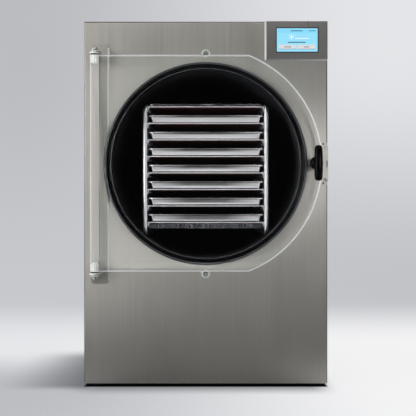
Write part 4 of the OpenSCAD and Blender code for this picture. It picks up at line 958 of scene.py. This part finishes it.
# %% [markdown]
# ## The blankets
# A blanket is a soft slab. Its section is a rounded rectangle, with its points close together at the front
# edge that shows, and it is carried along the rack from side to side. The crumple then pushes each point out
# or in, and flat shading keeps every facet sharp.

# %% Make the foil blankets
LONG_SIDE, SHORT_SIDE, TURN = 70, 8, 6  # points along the section's long and short sides, and in each corner


def slab_section(half, radius):
    """A rounded rectangle, front to back and up and down, with close points on its narrow front and back."""
    corner, out = rounded_outline(half[0], half[1], radius, TURN)
    points, ways = [], []
    for k, count in enumerate((LONG_SIDE, SHORT_SIDE) * 2):
        first, last, follow = TURN * k, TURN * k + TURN - 1, TURN * (k + 1) % len(corner)
        run = np.linspace(0, 1, count + 2)[1:-1, None]
        points += [corner[first:last + 1], corner[last] + run * (corner[follow] - corner[last])]
        ways += [out[first:last + 1], np.repeat(out[last:last + 1], count, axis=0)]
    return np.concatenate(points), np.concatenate(ways)


def blanket(name, node, seed, fold, space=None):
    """The section carried along x through the node's box, or the given space. Each point is pushed along its
    own outward direction by the crumple."""
    lo, hi = (np.array(corner) for corner in (space or box(node)))
    middle, half = (lo + hi) / 2, (hi - lo) / 2 - fold / 2
    section, ways = slab_section(half[1:], 0.45 * half[2])
    along = np.linspace(-1, 1, 190)
    grid = np.zeros((len(along), len(section), 3))
    grid[..., 0] = along[:, None] * half[0]
    grid[..., 1:] = section[None]
    grid[..., 1:] += crumple(grid + middle, fold, seed)[..., None] * ways[None]
    skin = sheet_mesh(name, grid + middle, wrap_columns=True, caps=True)
    turn_out(skin)
    skin.data.shade_flat()
    return piece(skin, foil, replaces=[node])


blanket("foil_blanket_top", "top_foil", 3, 3.2 * MM)
blanket("foil_blanket_under", "bottom_foil", 8, 3.4 * MM)
lip_lo, lip_hi = box("shelf_1")
lip_half = lip_hi[0] - 3.2 * MM
fold_space = ((-lip_half, lip_lo[1] - 2.6 * MM, lip_lo[2] - 6 * MM),
              (lip_half, lip_lo[1] + 5 * MM, lip_hi[2] - 2.4 * MM))
blanket("foil_turned_up", "bottom_foil", 11, 3.6 * MM, fold_space)
print("two blankets of foil, and the fold turned up in front of the lower one")

# %% [markdown]
# ## The touch screen's picture
# A lit display is a flat glowing sheet. Its picture is drawn with a few flat shapes laid just in front of
# the glass: two grey buttons, some dark bars that stand for lines of words, and a plain six-armed snowflake.
# They are meshes, so the picture survives in any renderer.

# %% Draw the screen's picture
screen_lo, screen_hi = box("touch_screen")
SCREEN = screen_hi - screen_lo


def flat_shape(name, outlines, colour, ahead):
    """Flat outlines, in shares of the screen (0 to 1, from the lower left), as one glowing mesh that lies so
    many metres ahead of the glass."""
    points, faces = [], []
    for outline in outlines:
        u, v = outline.T
        faces.append(list(range(len(points), len(points) + len(u))))
        spot = [screen_lo[0] + u * SCREEN[0], screen_lo[1] - ahead + 0 * u, screen_lo[2] + v * SCREEN[2]]
        points += np.stack(spot, -1).tolist()
    mesh = bpy.data.meshes.new(name)
    mesh.from_pydata(points, [], faces)
    return piece(placed(name, mesh), lit("display_lit_" + name, colour))


def snowflake(u, v, size, width):
    """Six arms, each a bar from the middle, turned 60 degrees from the last. Sizes are shares of the
    screen's height."""
    arms = []
    for angle in np.arange(6) * math.pi / 3 + math.pi / 6:
        along = np.array([math.cos(angle), math.sin(angle)])
        side = np.array([-along[1], along[0]]) * width / 2
        arm = np.array([-side, along * size - side, along * size + side, side])
        arms.append(np.array([u, v]) + arm * [SCREEN[2] / SCREEN[0], 1])
    return arms


button_ends = ((0.05, 0.475), (0.51, 0.945))
# Each layer's colour, how far it lies ahead of the glass in mm, and its outlines.
picture = {
    "header": ("#8adcfb", 0.05, [corners(0.03, 0.80, 0.97, 0.97)]),
    "word_bars": ("#3c5a66", 0.10, [corners(0.34, 0.875, 0.63, 0.91), corners(0.78, 0.88, 0.96, 0.905),
                                    corners(0.27, 0.38, 0.71, 0.42)]),
    "button_faces": ("#dcdcde", 0.10, [corners(left, 0.10, right, 0.30) for left, right in button_ends]),
    "button_shades": ("#a2a4a8", 0.15, [corners(left, 0.10, right, 0.125) for left, right in button_ends]),
    "button_bars": ("#55585c", 0.15, [corners(0.18, 0.185, 0.35, 0.215), corners(0.66, 0.185, 0.79, 0.215)]),
    "snowflake": ("#f2fbff", 0.10, snowflake(0.36, 0.63, 0.13, 0.022) + [corners(0.45, 0.55, 0.80, 0.585)]),
}
for name, (colour, ahead, outlines) in picture.items():
    flat_shape(name, outlines, colour, ahead * MM)
print("screen", [round(v / MM, 1) for v in (SCREEN[0], SCREEN[2])], "mm")

# %% [markdown]
# ## The studio
# The floor runs up into the wall in one curved sweep, so there is no corner behind the machine. Paper this
# pale would need more light than the steel can take, so part of its tone glows by itself for the camera, for
# reflections and for the view through the door. The rest is lit by the lamps, and keeps the soft shadow.

# %% Build the sweep
def sweep_points(near, far, half, curve, height):
    """A floor from y near to y far, then a quarter circle of radius curve, then a wall up to height."""
    angle = np.linspace(0, math.pi / 2, 24)
    y = np.concatenate([[near], far + curve * np.sin(angle), [far + curve]])
    z = np.concatenate([[0], curve * (1 - np.cos(angle)), [height]])
    return np.stack([np.stack([0 * y + x, y, z], -1) for x in (-half, half)], 1)


sweep = sheet_mesh("studio_sweep", sweep_points(FRONT_Y - 6, 2.2, 7.0, 1.6, 6.0))
print("paper sweep with", len(sweep.data.polygons), "faces")

# %% [markdown]
# ## Tones on the paper
# The paper's glow is painted in coats: a paler ground and a wall, both brightening to the right as painted
# light, and on top the soft shadows that the machine throws, painted on paper which glows, where real shadows
# would be washed out. Each coat has a mask with soft edges, which is a product of ramps along the axes.

# %% Paint the paper's glow
X, Y, Z = range(3)
paper, paper_shader = finish("backdrop_paper_pale_grey", Base_Color=tone("#e4e5e8"), Roughness=0.9)
spot = add(paper, "TexCoord")
axes = add(paper, "SeparateXYZ", {0: spot.outputs["Object"]})
rays = add(paper, "LightPath")
seen = add(paper, "Math", {0: rays.outputs["Is Camera Ray"], 1: rays.outputs["Is Transmission Ray"]},
           operation="MAXIMUM")


def patch(*edges, strength=1.0):
    """Strength times one eased ramp for each edge (axis, where it is 0, where it is 1)."""
    mask = strength
    for axis, start, end in edges:
        edge = add(paper, "MapRange", {"Value": axes.outputs[axis], "From Min": start, "From Max": end},
                   interpolation_type="SMOOTHSTEP")
        mask = add(paper, "Math", {0: edge, 1: mask}, operation="MULTIPLY")
    return mask


side_x = (cad_box[1][0] - cad_box[0][0]) / 2
to_right = patch((X, -1.2, 1.2))
wall = coated(paper, coated(paper, "#d1d2d7", (to_right, "#cacbd0")),
              (patch((Z, -0.1, 1.5)), coated(paper, "#c4c5ca", (to_right, "#f1f2f5"))))
ground = coated(paper, "#edeef1", (patch((X, -0.9, 0.6)), "#fdfdfe"))
# Painted shade: the floor from 0.3 m in front of the machine towards the camera is darker in the steel's
# reflection than to the camera.
front_ground = coated(paper, "#6d6e71", (seen, "#d4d6d9"))
# Painted shadows: cast is the broad shadow to the machine's left, beside lies along its left side, contact
# lies on the floor in front of its foot, and under is the dark beneath it.
cast = patch((X, 0.45, -0.45), (Y, FRONT_Y + 0.66, FRONT_Y + 0.05))
beside = patch((X, -side_x - 0.25, -side_x), (Y, FRONT_Y + 0.7, FRONT_Y + 0.48),
               (Y, FRONT_Y - 0.07, FRONT_Y + 0.03), (X, -side_x + 0.03, -side_x), strength=0.85)
contact = patch((X, -side_x - 0.06, -side_x + 0.05), (X, side_x + 0.03, side_x - 0.05),
                (Y, FRONT_Y - 0.13, FRONT_Y + 0.02), strength=0.8)
under = patch((X, -side_x - 0.004, -side_x + 0.004), (X, side_x + 0.004, side_x - 0.004),
              (Y, FRONT_Y - 0.004, FRONT_Y + 0.004), (Y, FRONT_Y + 0.72, FRONT_Y + 0.68))
glow = coated(paper, front_ground, (patch((Y, FRONT_Y - 1.2, FRONT_Y - 0.3)), ground), (cast, "#bfc1c6"),
              (beside, "#5c5e63"), (contact, "#5d6065"), (under, "#060606"),
              (patch((Y, FRONT_Y + 0.8, FRONT_Y + 2.4)), wall))
# Painted shade: the paper's own colour is near black beneath the machine too.
join(paper, coated(paper, "#e4e5e8", (under, "#0c0c0c")), paper_shader.inputs["Base Color"])
print("paper painted with", len(paper.node_tree.nodes), "nodes")

# %% [markdown]
# ## How strongly the paper glows
# To the camera the paper glows in full. The steel mirrors only a tenth of that, or the panel would show a
# white band along its foot. Two places are let through again, a strip by the machine's feet and the floor
# in front of its corners, because the foot of the panel shows both as pale gleams.

# %% Set the strength of the glow
SELF_LIT = 0.85
aside = add(paper, "Math", {0: axes.outputs[X]}, operation="ABSOLUTE")
outward = add(paper, "MapRange", {"Value": aside, "From Min": 0.2, "From Max": 0.45})
corner_glint = patch((Y, FRONT_Y - 0.55, FRONT_Y - 0.1), strength=outward)
foot_glint = patch((Y, FRONT_Y - 0.06, FRONT_Y - 0.015), (Y, FRONT_Y + 0.01, FRONT_Y), strength=0.7)
base_glint = add(paper, "Math", {0: foot_glint, 1: 0.1}, operation="MAXIMUM")
glint = add(paper, "Math", {0: corner_glint, 1: 0.8, 2: base_glint}, operation="MULTIPLY_ADD")
power = add(paper, "MapRange", {"Value": seen, "To Min": glint, "To Max": 1.0})
shown = add(paper, "Math", {0: seen, 1: rays.outputs["Is Glossy Ray"]}, operation="MAXIMUM")
share = add(paper, "Math", {0: shown, 1: SELF_LIT}, operation="MULTIPLY")
lamp_paper = add(paper, "Emission", {"Color": glow, "Strength": power})
front_face = add(paper, "MixShader", {0: share, 1: paper_shader, 2: lamp_paper})
# Its back is clear, so that a camera behind the sweep still sees the machine.
surface = add(paper, "NewGeometry")
one_way = add(paper, "MixShader", {0: surface.outputs["Backfacing"], 1: front_face,
                                   2: add(paper, "BsdfTransparent")})
join(paper, one_way, paper.node_tree.nodes["Material Output"].inputs["Surface"])
sweep.data.materials.append(paper)
print("paper glows with", SELF_LIT, "of its tone")

# %% [markdown]
# ## The room and the lamps
# Brushed steel shows where the lamps are, as soft clouds stretched across its scratches. A tall lamp far to
# the left lights the hinge side, low ones on both sides fade out towards the floor, and nothing bright
# stands behind the camera, because the clear door would show it as haze over the dark drum. Behind and
# beside the machine the room itself is pale.

# %% Light the room
world = bpy.data.worlds.new("studio")
bpy.context.scene.world = world
world.use_nodes = True
room = world.node_tree.nodes["Background"]
room.inputs["Color"].default_value = tone("#d4d7dd")
heading = add(world, "SeparateXYZ", {0: add(world, "TexCoord").outputs["Generated"]})
level = add(world, "MapRange", {"Value": heading.outputs[Y], "From Min": -0.6, "From Max": 0.5,
                                "To Min": 0.02, "To Max": 0.5}, interpolation_type="SMOOTHSTEP")
camera_ray = add(world, "LightPath").outputs["Is Camera Ray"]
strength = add(world, "Math", {0: camera_ray, 1: 0.45, 2: level}, operation="MULTIPLY_ADD")
join(world, strength, room.inputs["Strength"])
print("room with", len(world.node_tree.nodes), "nodes")

# %% [markdown]
# ## The lamps
# Each lamp is a softbox, a plain lit rectangle. All but one of them face the middle of the panel. They are
# hidden from the camera, but the steel and the domed nuts mirror them, so their places and sizes were
# chosen for the shape of the clouds that they draw.

# %% Hang the lamps
def softbox(name, place, aim, size, power):
    """A rectangular lamp of size (width, height), turned from place towards aim."""
    data = bpy.data.lights.new(name, "AREA")
    data.shape = "RECTANGLE"
    data.size, data.size_y = size
    data.energy = power
    lamp = bpy.data.objects.new(name, data)
    lamp.location = place
    way = np.array(aim) - np.array(place)
    tilt, heading = math.acos(-way[2] / np.linalg.norm(way)), math.atan2(way[1], way[0])
    lamp.rotation_euler = (tilt, 0, heading - math.pi / 2)
    lamp.visible_camera = False
    bpy.context.collection.objects.link(lamp)


# Each lamp's place (with y from the front panel), its width and height in metres, and its power in watts.
lamps = {
    "far_left": ((-3.1, -2.3, 1.0), (1.0, 1.8), 40),
    "near_left": ((-1.3, -0.9, 1.2), (0.5, 0.7), 2.5),
    "low_left": ((-1.25, -2.3, 0.13), (0.7, 0.2), 2.3),
    "mid_left": ((-1.25, -2.3, 0.8), (0.7, 0.5), 2.1),
    "mid_right": ((1.25, -2.3, 0.7), (0.7, 0.3), 4.7),
    "low_right": ((1.7, -2.0, 0.25), (0.7, 0.4), 2.4),
    "front_high": ((0, -2.8, 2.2), (2.0, 0.8), 20.6),
    "floor_left": ((-1.1, -0.5, 0.03), (0.6, 0.8), 2.6),
    "side_left": ((-2.2, 0.9, 1.3), (1.2, 1.6), 5),
    "side_right": ((2.2, 0.7, 1.0), (1.2, 1.6), 8),
    "overhead": ((0, 0.9, 2.8), (2.0, 1.2), 8),
    "behind": ((0.9, 2.4, 1.7), (1.2, 0.9), 6),
}
for name, ((x, y, z), size, power) in lamps.items():
    # The lamp on the floor shines straight up the cabinet's side, and every other one at the panel's middle.
    aim = (x, FRONT_Y + y + 0.1, 9) if name == "floor_left" else (0, FRONT_Y, 0.5)
    softbox(name, (x, FRONT_Y + y, z), aim, size, power)
print("studio ready with", len(lamps), "lamps")
